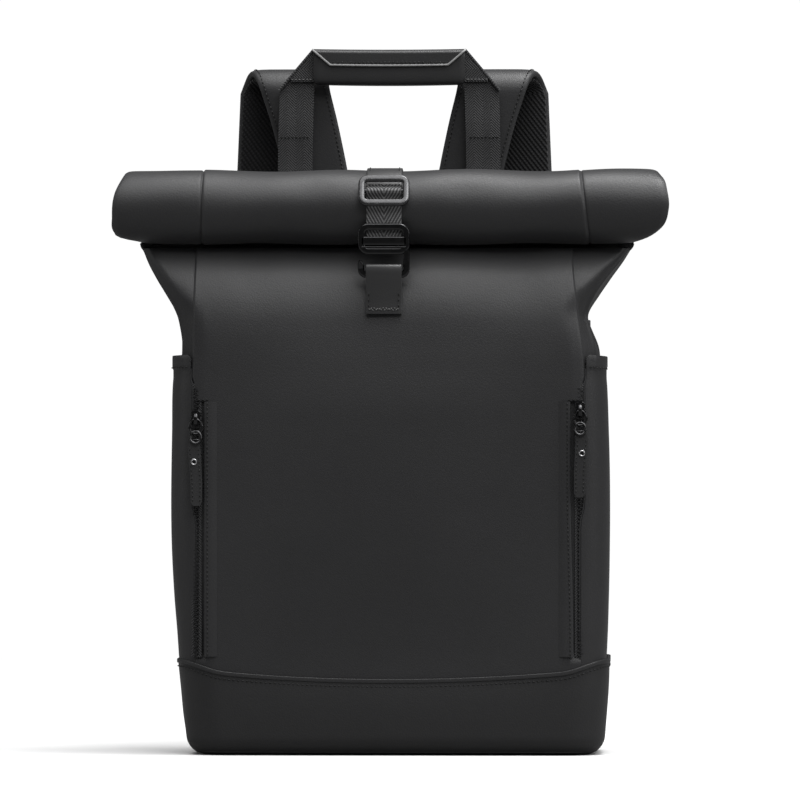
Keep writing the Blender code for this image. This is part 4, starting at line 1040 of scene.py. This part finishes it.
def riserPath(count=26):
    # up from the yoke and over the fold: y, z, middle x, width
    low = np.array([(0.0680, 0.3340, 0.0440, 0.0440), (0.0676, 0.3600, 0.0480, 0.0445), (0.0675, 0.4000, 0.0536, 0.0455),
                    (0.0675, 0.4380, 0.0618, 0.0470), (0.0675, 0.4640, 0.0690, 0.0490)])
    a = np.linspace(180, 0, 17)[1:]
    share = (180 - a) / 180
    arc = np.column_stack([shoulder["foldY"] + shoulder["fold"] * np.cos(np.radians(a)),
                           shoulder["foldZ"] + shoulder["fold"] * np.sin(np.radians(a)),
                           0.0690 + 0.0120 * share, 0.0490 + 0.0080 * share])
    return np.vstack([flow(np.linspace(0, 4, count), np.arange(5), low), arc])


def fallPath(count=56):
    y, z = shoulder["foldY"] + shoulder["fold"], shoulder["foldZ"]
    drop = z - shoulder["end"]
    keys = np.array([(y, z, 0.081, 0.0570), (y + 0.0005, z - 0.2 * drop, 0.083, 0.058), (y - 0.002, z - 0.45 * drop, 0.087, 0.057),
                     (y - 0.006, z - 0.72 * drop, 0.092, 0.050),
                     (y - 0.009, z - 0.92 * drop, 0.096, 0.040), (y - 0.0095, shoulder["end"], 0.097, 0.032)])
    return flow(np.linspace(0, 1, count), np.array([0, 0.2, 0.45, 0.72, 0.92, 1.0]), keys)


def strapShell(path, sign, name, body, material, slotName, stands, low, high, inset):
    # a flattened ring between two distances from the strap's middle surface, its edges rounded
    middle = np.column_stack([sign * path[:, 2], path[:, 0], path[:, 1]])
    along = directions(np.column_stack([np.zeros(len(path)), path[:, 0], path[:, 1]]))
    out = np.cross(np.array([1.0, 0, 0]), along)
    ring = pillow(1.0, 1.0, 3.4, 36)
    lateral = ring[None, :, :1] * (path[:, None, 3:4] - 2 * inset)
    rise = (low + high) / 2 + ring[None, :, 1:] * (high - low)
    points = middle[:, None] + lateral * np.array([1.0, 0, 0]) + out[:, None] * rise
    run = runOf(middle)
    flat = grid(lateral[..., 0], run[:, None])
    wear = np.broadcast_to((abs(ring[:, 0]) > 0.47) * 0.35, points.shape[:2])
    return piece(name, points, material, body, slotName, stands, roundColumns=True, caps=True, flat=flat, wear=wear,
                 angle=60), middle, out


def buildShoulder(side, sign):
    edge, cushion = shoulder["thick"] / 2, shoulder["knit"]
    rise, fall = riserPath(), fallPath()
    # leather outside, open knit inside, on the rising part and round the fold
    made, middle, out = strapShell(rise, sign, f"{side}StrapRise", None, shellLeather, "shell_leather", [f"{side}_strap_riser"],
                                   -edge + cushion, edge, 0.0)
    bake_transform(made)
    lining, _, _ = strapShell(rise, sign, f"{side}StrapRiseLining", None, strapKnit, "mesh", (), -edge, -edge + cushion + 0.0006,
                              0.0022)
    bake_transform(lining)
    for tag, x in (("Inner", -1), ("Outer", 1)):
        line = middle + out * edge * 0.93 + np.column_stack([sign * x * (rise[:, 3] / 2 - 0.0034), np.zeros(len(rise)), np.zeros(len(rise))])
        sewn = stitches(f"{side}Rise{tag}Stitches", line[2:], out[2:], None)
        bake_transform(sewn)
    made, middle, out = strapShell(fall, sign, f"{side}StrapFall", f"{side}_strap", shellLeather, "shell_leather",
                                   [f"{side}_shoulder_strap"], -edge + cushion, edge, 0.0)
    strapShell(fall, sign, f"{side}StrapLining", f"{side}_strap", strapKnit, "mesh", [f"{side}_strap_mesh"], -edge,
               -edge + cushion + 0.0006, 0.0022)
    for tag, x in (("Inner", -1), ("Outer", 1)):
        line = middle + out * edge * 0.93 + np.column_stack([sign * x * (fall[:, 3] / 2 - 0.0034), np.zeros(len(fall)), np.zeros(len(fall))])
        stitches(f"{side}Fall{tag}Stitches", line, out, f"{side}_strap")

    # ladder lock: a moulded frame with two cross bars
    lockLow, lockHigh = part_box(f"{side}_ladder_lock")
    cx, cy, cz = (lockLow.x + lockHigh.x) / 2, (lockLow.y + lockHigh.y) / 2, (lockLow.z + lockHigh.z) / 2
    loop = resample(roundLoop(*shoulder["lock"], 5), 72, True)
    path = np.column_stack([cx + loop[:, 0], np.full(72, cy), cz + loop[:, 1]])
    tube(f"{side}LockFrame", path, roundLoop(0.0038, 0.0036, 0.0012, 3), (0, -1.0, 0), mouldedPlastic, f"{side}_strap", "plastic",
         [f"{side}_ladder_lock"], angle=60, closed=True)
    for k, dz in enumerate((-0.0032, 0.0036)):
        bar(f"{side}LockBar{k + 1}", np.column_stack([cx + np.linspace(-0.0125, 0.0125, 8), np.full(8, cy), np.full(8, cz + dz)]),
            0.0034, 0.0026, (0, -1.0, 0), f"{side}_strap", mouldedPlastic, "plastic")

    # short webbing tip that joins the strap's end to the lock's upper bar
    endAt = fall[-1]
    tip = through([(sign * endAt[2], endAt[0] + 0.0004, shoulder["end"] + 0.0060),
                   (sign * endAt[2], endAt[0] + 0.0002, shoulder["end"] - 0.0010), (cx, cy + 0.0030, cz + 0.0078), (cx, cy + 0.0030, cz + 0.0030)], 26)
    bar(f"{side}LockTip", tip, shoulder["webWidth"], shoulder["webThick"], (1.0, 0, 0), f"{side}_strap", quietWebbing, "webbing",
        soft=0.0006)

    # patch on the lower back: a five-cornered leather plate, a little domed, sewn round
    patchLow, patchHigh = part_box(f"{side}_strap_anchor")
    px, pz = (patchLow.x + patchHigh.x) / 2, (patchLow.z + patchHigh.z) / 2
    v = np.linspace(-1, 1, 22)
    tall = (patchHigh.z - patchLow.z) / 2
    inner = -0.0130 + 0.0096 * np.clip((v - 0.10) / 0.90, 0, 1)
    u = pillow(1.0, 1.0, 6.0, 40)
    middleX = (inner + 0.0130) / 2
    halfX = (0.0130 - inner) / 2
    points = grid(px + sign * middleX[:, None] + u[None, :, 0] * 2
                  * (halfX * np.sqrt(np.clip(1.0005 - abs(v) ** 16, 0.02, 1)))[:, None],
                                          (patchLow.y + patchHigh.y) / 2 - u[None, :, 1] * 0.0030, pz + (v * tall)[:, None])
    piece(f"{side}StrapAnchor", points, trimLeather, "bag", "trim_leather", [f"{side}_strap_anchor"], roundColumns=True, caps=True,
          angle=50)

    # lower webbing: from the anchor patch at the base up through the lock, with its loose tail
    x0 = sign * 0.1235
    path = through([(x0, 0.0622, 0.0900), (x0, 0.0640, 0.1010), (x0 - sign * 0.007, 0.0700, 0.1180),
                    (cx + sign * 0.006, 0.0770, 0.1340), (cx, cy + 0.0006, 0.1500), (cx, cy + 0.0024, 0.1560)], 60)
    made = tube(f"{side}LowerWebbing", path, roundLoop(shoulder["webWidth"], shoulder["webThick"], 0.0006, 2), (1.0, 0, 0),
                quietWebbing, None, "webbing", [f"{side}_lower_webbing"], mapped=True)
    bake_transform(made)
    path = through([(cx, cy + 0.0016, 0.1640), (cx, cy + 0.0052, 0.1500), (cx + sign * 0.001, cy + 0.0058, 0.1250),
                    (cx + sign * 0.003, cy + 0.0044, 0.1020)], 40)
    tube(f"{side}WebbingTail", path, roundLoop(0.0196, 0.0013, 0.0006, 2), (1.0, 0, 0), quietWebbing, f"{side}_strap", "webbing",
         mapped=True)


for side, sign in sides:
    buildShoulder(side, sign)
print("shoulder straps built")


# back: yoke, pads and anchor patches
padLook = {"voxel": 0.0045, "pressure": 4.0, "frames": 20, "swell": 0.0035, "channel": 0.0042, "fill": 0.7}


def placesOf(mesh):
    places = np.zeros(len(mesh.vertices) * 3)
    mesh.vertices.foreach_get("co", places)
    return places.reshape(-1, 3)


def puffed(name, low, high):
    # a crowned pad: a rounded block, inflated against its own cloth, its rear kept flat on the bag
    low, high = Vector(low), Vector(high)
    u, v = np.meshgrid(np.linspace(0, 2 * math.pi, 72, endpoint=False), np.linspace(-1, 1, 15), indexing="xy")
    size = (high - low) / 2
    centre = (high + low) / 2
    c, s = np.cos(u), np.sin(u)
    roundness = (1 - np.clip(abs(v), 0, 1) ** 3.0) ** 0.34
    x = centre.x + (size.x - 0.004 + 0.004 * roundness) * np.sign(c) * abs(c) ** 0.30
    z = centre.z + (size.z - 0.004 + 0.004 * roundness) * np.sign(s) * abs(s) ** 0.30
    y = centre.y + size.y * v * 0.82
    mesh = bpy.data.meshes.new(name)
    faces = gridFaces(15, 72, False, True).tolist() + [list(range(72))[::-1], list(range(14 * 72, 15 * 72))]
    mesh.from_pydata(np.stack([x, y, z], -1).reshape(-1, 3).tolist(), [], faces)
    faceOut(mesh)
    made = link(name, mesh)
    remesh = made.modifiers.new("even", "REMESH")
    remesh.mode, remesh.voxel_size = "VOXEL", padLook["voxel"]
    settle(made, 180)
    rest = placesOf(made.data)
    cloth = made.modifiers.new("cloth", "CLOTH")
    cloth.settings.use_pressure, cloth.settings.uniform_pressure_force = True, padLook["pressure"]
    cloth.settings.effector_weights.gravity = 0
    for frameNumber in range(1, padLook["frames"] + 1):
        bpy.context.scene.frame_set(frameNumber)
    settle(made, 180)
    bpy.context.scene.frame_set(1)
    move = placesOf(made.data) - rest
    length = np.linalg.norm(move, axis=1, keepdims=True)
    now = rest + move * np.minimum(1, padLook["swell"] / np.maximum(length, 1e-9))
    now[:, 1] = np.maximum(now[:, 1], low.y)
    now[:, 0] = np.clip(now[:, 0], low.x - 0.001, high.x + 0.001)
    return made, now


def closePad(made, now, lines, depth, node):
    # sewn channels pressed into the swollen face
    low = now[:, 1].min()
    for axis, at in lines:
        now[:, 1] -= (now[:, 1] - low) * depth * np.exp(-((now[:, axis] - at) / padLook["channel"]) ** 2)
    made.data.vertices.foreach_set("co", now.ravel())
    made.data.materials.clear()
    made.data.materials.append(padKnit)
    finer = made.modifiers.new("finer", "SUBSURF")
    finer.levels = finer.render_levels = 1
    settle(made, 180)
    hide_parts(node)
    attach(made, "bag")


def buildPads():
    low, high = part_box("right_back_pad")
    made, now = puffed("rightBackPad", low, high)
    mid = (low.z + high.z) / 2
    lines = [(2, mid + dz) for dz in (-0.062, -0.021, 0.021, 0.062)]
    twin = made.copy()
    twin.data = made.data.copy()
    twin.name = twin.data.name = "leftBackPad"
    bpy.context.scene.collection.objects.link(twin)
    closePad(made, now.copy(), lines, 0.55, "right_back_pad")
    mirrored = now * [-1, 1, 1]
    twin.data.flip_normals()
    closePad(twin, mirrored, lines, 0.55, "left_back_pad")
    low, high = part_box("lumbar_pad")
    made, now = puffed("lumbarPad", low, high)
    closePad(made, now, [(0, -0.034), (0, 0.034)], 0.5, "lumbar_pad")


def buildYoke():
    # a long soft bar: a squarish ring carried sideways, pinched in at both ends
    low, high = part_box("strap_yoke")
    t = np.linspace(0, 2 * math.pi, 40, endpoint=False)
    c, s = np.cos(t), np.sin(t)
    x = np.concatenate([[low.x], low.x + np.array([0.001, 0.003]), np.linspace(low.x + 0.006, high.x - 0.006, 60),
                        high.x - np.array([0.003, 0.001]), [high.x]])
    near = np.minimum(x - low.x, high.x - x)
    pinchEnd = 0.72 + 0.28 * np.sqrt(np.clip(near / 0.005, 0, 1))
    cy, cz = (low.y + high.y) / 2, (low.z + high.z) / 2
    y = cy + (high.y - low.y) / 2 * (np.sign(c) * abs(c) ** 0.7)[None] * pinchEnd[:, None]
    z = cz + (high.z - low.z) / 2 * (np.sign(s) * abs(s) ** 0.45)[None] * (0.94 + 0.06 * pinchEnd[:, None])
    points = grid(x[:, None], y, z)
    made = piece("strapYoke", points, trimLeather, "bag", "trim_leather", ["strap_yoke"], roundColumns=True, caps=True)
    for name, dz in (("upper", 0.0118), ("lower", -0.0118)):
        xs = np.linspace(low.x + 0.005, high.x - 0.005, 60)
        stitches(f"{name}YokeStitches", np.column_stack([xs, np.full(60, high.y - 0.0009), np.full(60, cz + dz)]), (0, 1, 0), "bag")
    for side, sign in sides:
        patchLow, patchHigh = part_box(f"{side}_strap_anchor")
        y1 = patchHigh.y + 0.0001
        cx, cz1 = (patchLow.x + patchHigh.x) / 2, (patchLow.z + patchHigh.z) / 2
        corners = np.array([(-0.0095, -0.0125), (0.0085, -0.0125), (0.0085, 0.0125), (-0.0045, 0.0125), (-0.0095, 0.0040),
                            (-0.0095, -0.0125)])
        line = np.column_stack([cx + sign * corners[:, 0], np.full(6, y1), cz1 + corners[:, 1]])
        stitches(f"{side}AnchorStitches", resample(line, 60), (0, 1, 0), "bag")


buildYoke()
buildPads()
print("back built")


# zips
zipLook = {"inward": 0.0038, "tooth": 0.0014, "flapIn": 0.1185, "flapOut": 0.1262, "flapRise": 0.0011, "stitchIn": 0.0021,
           "tape": 0.0074, "wire": 0.0019, "pullWidth": (0.0054, 0.0031), "rim": 0.00175}


def blocks(name, centres, ax, ay, az, material, body, stands=()):
    # many small bevelled blocks: each is two square rings and two smaller end rings
    k = np.array([(-1, -1), (1, -1), (1, 1), (-1, 1)], float)
    rings = [(-1.0, 0.7), (-0.6, 1.0), (0.6, 1.0), (1.0, 0.7)]
    one = np.array([[(k[j, 0] * grow, k[j, 1] * grow, h) for j in range(4)] for h, grow in rings])
    points = centres[:, None, None] + one[None, ..., :1] * ax[:, None, None] + one[None, ..., 1:2] * ay[:, None, None] + one[None,
            ..., 2:] * az[:, None, None]
    face = np.concatenate([gridFaces(4, 4, False, True), [[3, 2, 1, 0], [12, 13, 14, 15]]])
    faces = (face[None] + np.arange(len(centres))[:, None, None] * 16).reshape(-1, 4)
    mesh = bpy.data.meshes.new(name)
    mesh.from_pydata(points.reshape(-1, 3).tolist(), [], faces.tolist())
    faceOut(mesh)
    mesh.materials.append(material)
    sharpen(mesh, 30)
    made = link(name, mesh)
    if stands:
        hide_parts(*stands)
    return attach(made, body)


def buildZip(side, sign):
    low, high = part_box(f"{side}_zip")
    x0 = (low.x + high.x) / 2 - sign * zipLook["inward"]
    lean = math.asin((abs(x0) - (bag["half"] - bag["corner"])) / bag["corner"])
    out = np.array([sign * math.sin(lean), -math.cos(lean), 0])
    sideways = np.array([math.cos(lean), sign * math.sin(lean), 0])
    surface = bag["front"] + bag["corner"] * (1 - math.cos(lean))
    base0 = np.array([x0, surface, 0]) - out * 0.0006
    # tape under the teeth, then teeth that lean to each other from both sides
    z = np.linspace(low.z, high.z, 40)
    tape = base0 + z[:, None] * [0, 0, 1.0] - out * 0.0006
    tube(f"{side}ZipTape", tape, roundLoop(zipLook["tape"], 0.0009, 0.0003, 2), sideways, quietWebbing, "bag", "plastic",
         mapped=True)
    count = int((high.z - low.z - 0.003) / zipLook["tooth"])
    z = low.z + 0.0015 + np.arange(count) * zipLook["tooth"]
    lateral = np.where(np.arange(count) % 2 == 0, -1, 1) * 0.0007
    centres = base0 + z[:, None] * [0, 0, 1.0] + lateral[:, None] * sideways + out * 0.0003
    one = np.ones((count, 1))
    blocks(f"{side}ZipTeeth", centres, one * sideways * 0.00125, one * [0, 0, 0.00052], one * out * 0.00065, mouldedPlastic, "bag",
           [f"{side}_zip"])

    # flap: the front's stitched edge, standing a little proud of the opening, closed across its top
    top, bottom = 0.2452, low.z + 0.0005
    inner, outer = zipLook["flapIn"], zipLook["flapOut"]
    flapLean = 0.0022 * (1 - step(0.07, 0.20, np.linspace(bottom, top, 70))) if sign > 0 else 0.0012 * np.ones(70)
    z = np.linspace(bottom, top, 70)
    u = np.array([0, 0.15, 0.35, 0.6, 0.8, 0.93, 1.0])
    x = inner + (outer - inner) * u[None] + flapLean[:, None] * step(0.2, 1, u)[None]
    y = frontSurface(np.full_like(x, 0.120) * sign, z[:, None]) - zipLook["flapRise"] * step(0, 0.5,
            u)[None] - 0.0002 + 0.0004 * step(0.9, 1, u)[None]
    points = grid(sign * x, y, z[:, None])
    wear = np.broadcast_to(0.5 * step(0.85, 0.97, u)[None], x.shape)
    if sign < 0:
        points, wear = points[:, ::-1], wear[:, ::-1]
    piece(f"{side}ZipFlap", points, shellLeather, "bag", "shell_leather", [f"{side}_zip_flap"], wall=0.0012, wear=wear)
    sew = np.column_stack([sign * (outer - zipLook["stitchIn"] + flapLean), y[:, 4] - 0.0001, z])
    stitches(f"{side}FlapStitches", sew, (0, -1, 0), "bag", pitch=0.0030)
    xs = np.linspace(outer - zipLook["stitchIn"], outer + 0.0094, 8)
    topRow = np.column_stack([sign * xs, frontSurface(sign * xs, np.full(8, top + 0.0012)) - 0.0002, np.full(8, top + 0.0014)])
    stitches(f"{side}OpeningStitches", topRow, (0, -1, 0), "bag", pitch=0.0026)

    # slider: a waisted shell with a bridge for the bail
    low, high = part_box(f"{side}_zip_slider")
    cx, height = x0, (low.z + high.z) / 2
    plateY = high.y
    zz = np.linspace(-0.0062, 0.0062, 20)
    ring = pillow(1.0, 1.0, 3.2, 28)
    wide = 0.0082 * (0.80 + 0.20 * np.cos(zz / 0.0062 * math.pi * 0.9 + 0.5) ** 2) * np.sqrt(np.clip(1 - (abs(zz) / 0.0064) ** 6,
            0.05, 1))
    points = grid(cx + ring[None, :, 0] * wide[:, None], plateY - 0.0013 + ring[None, :, 1] * 0.0024, height + zz[:, None])
    piece(f"{side}SliderBody", points, blackMetal, f"{side}_slider", "black_metal", [f"{side}_zip_slider"], roundColumns=True,
          caps=True, angle=60)
    arch = through([(cx, plateY - 0.0014, height + 0.0046), (cx, plateY - 0.0046, height + 0.0040),
                    (cx, plateY - 0.0068, height + 0.0018), (cx, plateY - 0.0070, height - 0.0014),
                    (cx, plateY - 0.0052, height - 0.0038), (cx, plateY - 0.0018, height - 0.0046)], 30)
    bar(f"{side}SliderBridge", arch, 0.0026, 0.0012, (1.0, 0, 0), f"{side}_slider", blackMetal, "black_metal", soft=0.0005)

    # bail: a wire loop through the bridge, wider below
    low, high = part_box(f"{side}_bail")
    cx, cy, cz = x0, (low.y + high.y) / 2, (low.z + high.z) / 2
    a = np.linspace(0, 2 * math.pi, 48, endpoint=False)
    path = np.column_stack([cx + (0.0043 - 0.0006 * np.sin(a)) * np.cos(a), np.full(48, cy), cz + 0.0050 * np.sin(a)])
    circle = roundLoop(zipLook["wire"], zipLook["wire"], zipLook["wire"] / 2 - 0.00001, 2)
    tube(f"{side}BailRing", path, circle, (0, 1.0, 0), blackMetal, f"{side}_bail", "black_metal", [f"{side}_bail"], angle=80,
         closed=True)
    # lower ring, then the leather tab that hangs from it
    low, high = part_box(f"{side}_pull_tab")
    knot = cz - 0.0050
    path = np.column_stack([cx + 0.0037 * np.cos(a), np.full(48, cy - 0.0012) + 0.0012 * np.sin(a),
                            knot - 0.0024 + 0.0042 * np.sin(a)])
    tube(f"{side}PullRing", path, circle, (0, 1.0, 0), blackMetal, f"{side}_pull", "black_metal", angle=80, closed=True)
    zs = np.concatenate([np.linspace(knot - 0.0042, knot - 0.0085, 8), np.linspace(knot - 0.0095, low.z + 0.0026, 26),
                         low.z + np.array([0.0018, 0.0010, 0.0004, 0.0])])
    down = np.clip((knot - 0.0042 - zs) / 0.0046, 0, 1)
    wide = (zipLook["pullWidth"][0] + zipLook["pullWidth"][1] * step(0, 1, down)) * (1 - 0.10
            * np.clip((knot - 0.01 - zs) / 0.04, 0, 1))
    wide = wide - 0.0036 * np.clip((low.z + 0.0024 - zs) / 0.0024, 0, 1)
    swing = sign * (0.0016 * step(0.012, 0.045, zs - low.z) - 0.0004)
    path = np.column_stack([cx + swing, np.full(len(zs), cy), zs])
    profile = roundLoop(1.0, 0.0026, 0.0009, 3)
    profile[:, 0] = np.sign(profile[:, 0]) * np.minimum(abs(profile[:, 0]), 0.5)
    points, _ = carry(path, profile, (1.0, 0, 0), widths=wide)
    wear = np.broadcast_to((abs(profile[:, 0]) > 0.4995) * 0.5, points.shape[:2])
    piece(f"{side}PullTab", points, trimLeather, f"{side}_pull", "trim_leather", [f"{side}_pull_tab"], roundColumns=True, caps=True,
          wear=wear)
    for k, dx in enumerate((-1, 1)):
        sew = np.column_stack([cx + swing[8:34] + dx * (wide[8:34] / 2 - 0.0013), np.full(26, cy - 0.0013), zs[8:34]])
        stitches(f"{side}PullStitches{k + 1}", sew, (0, -1, 0), f"{side}_pull", pitch=0.0028)
    clip = np.column_stack([cx + 0.0034 * np.cos(a), cy + 0.0022 * np.sin(a), np.full(48, knot - 0.0052)])
    tube(f"{side}PullClip", clip, roundLoop(0.0011, 0.0030, 0.0004, 2)[:, ::-1], (0, 0, 1.0), blackMetal, f"{side}_pull",
         "black_metal", [f"{side}_pull_clip"], angle=60, closed=True)
    low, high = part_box(f"{side}_eyelet")
    ex, ez = x0 + sign * 0.0012, (low.z + high.z) / 2
    for k, face in enumerate((cy - 0.0015, cy + 0.0015)):
        path = np.column_stack([ex + zipLook["rim"] * np.cos(a), np.full(48, face), ez + zipLook["rim"] * np.sin(a)])
        tube(f"{side}EyeletRim{k + 1}", path, roundLoop(0.0014, 0.0010, 0.00048, 3), (0, 1.0, 0), silverMetal, f"{side}_pull",
             "silver_metal", [f"{side}_eyelet"] if k == 0 else (), angle=80, closed=True)
    disc = np.column_stack([np.full(8, ex), np.linspace(cy - 0.0014, cy + 0.0014, 8), np.full(8, ez)])
    tube(f"{side}EyeletCore", disc, roundLoop(0.0030, 0.0030, 0.00149, 4), (1.0, 0, 0), blackMetal, f"{side}_pull", "black_metal")


for side, sign in sides:
    buildZip(side, sign)
print("zips built")

# parts inside the bag keep their CAD shape and get a finish of their own
carried = {"lining": liningCloth, "laptop_sleeve": liningCloth, "back_foam": foamFinish, "roll_stiffener": mouldedPlastic}

for name, node in nodes.items():
    if node.hide_render:
        continue
    for place in node.material_slots:
        place.material = carried.get(name, shellLeather)
bpy.context.view_layer.update()
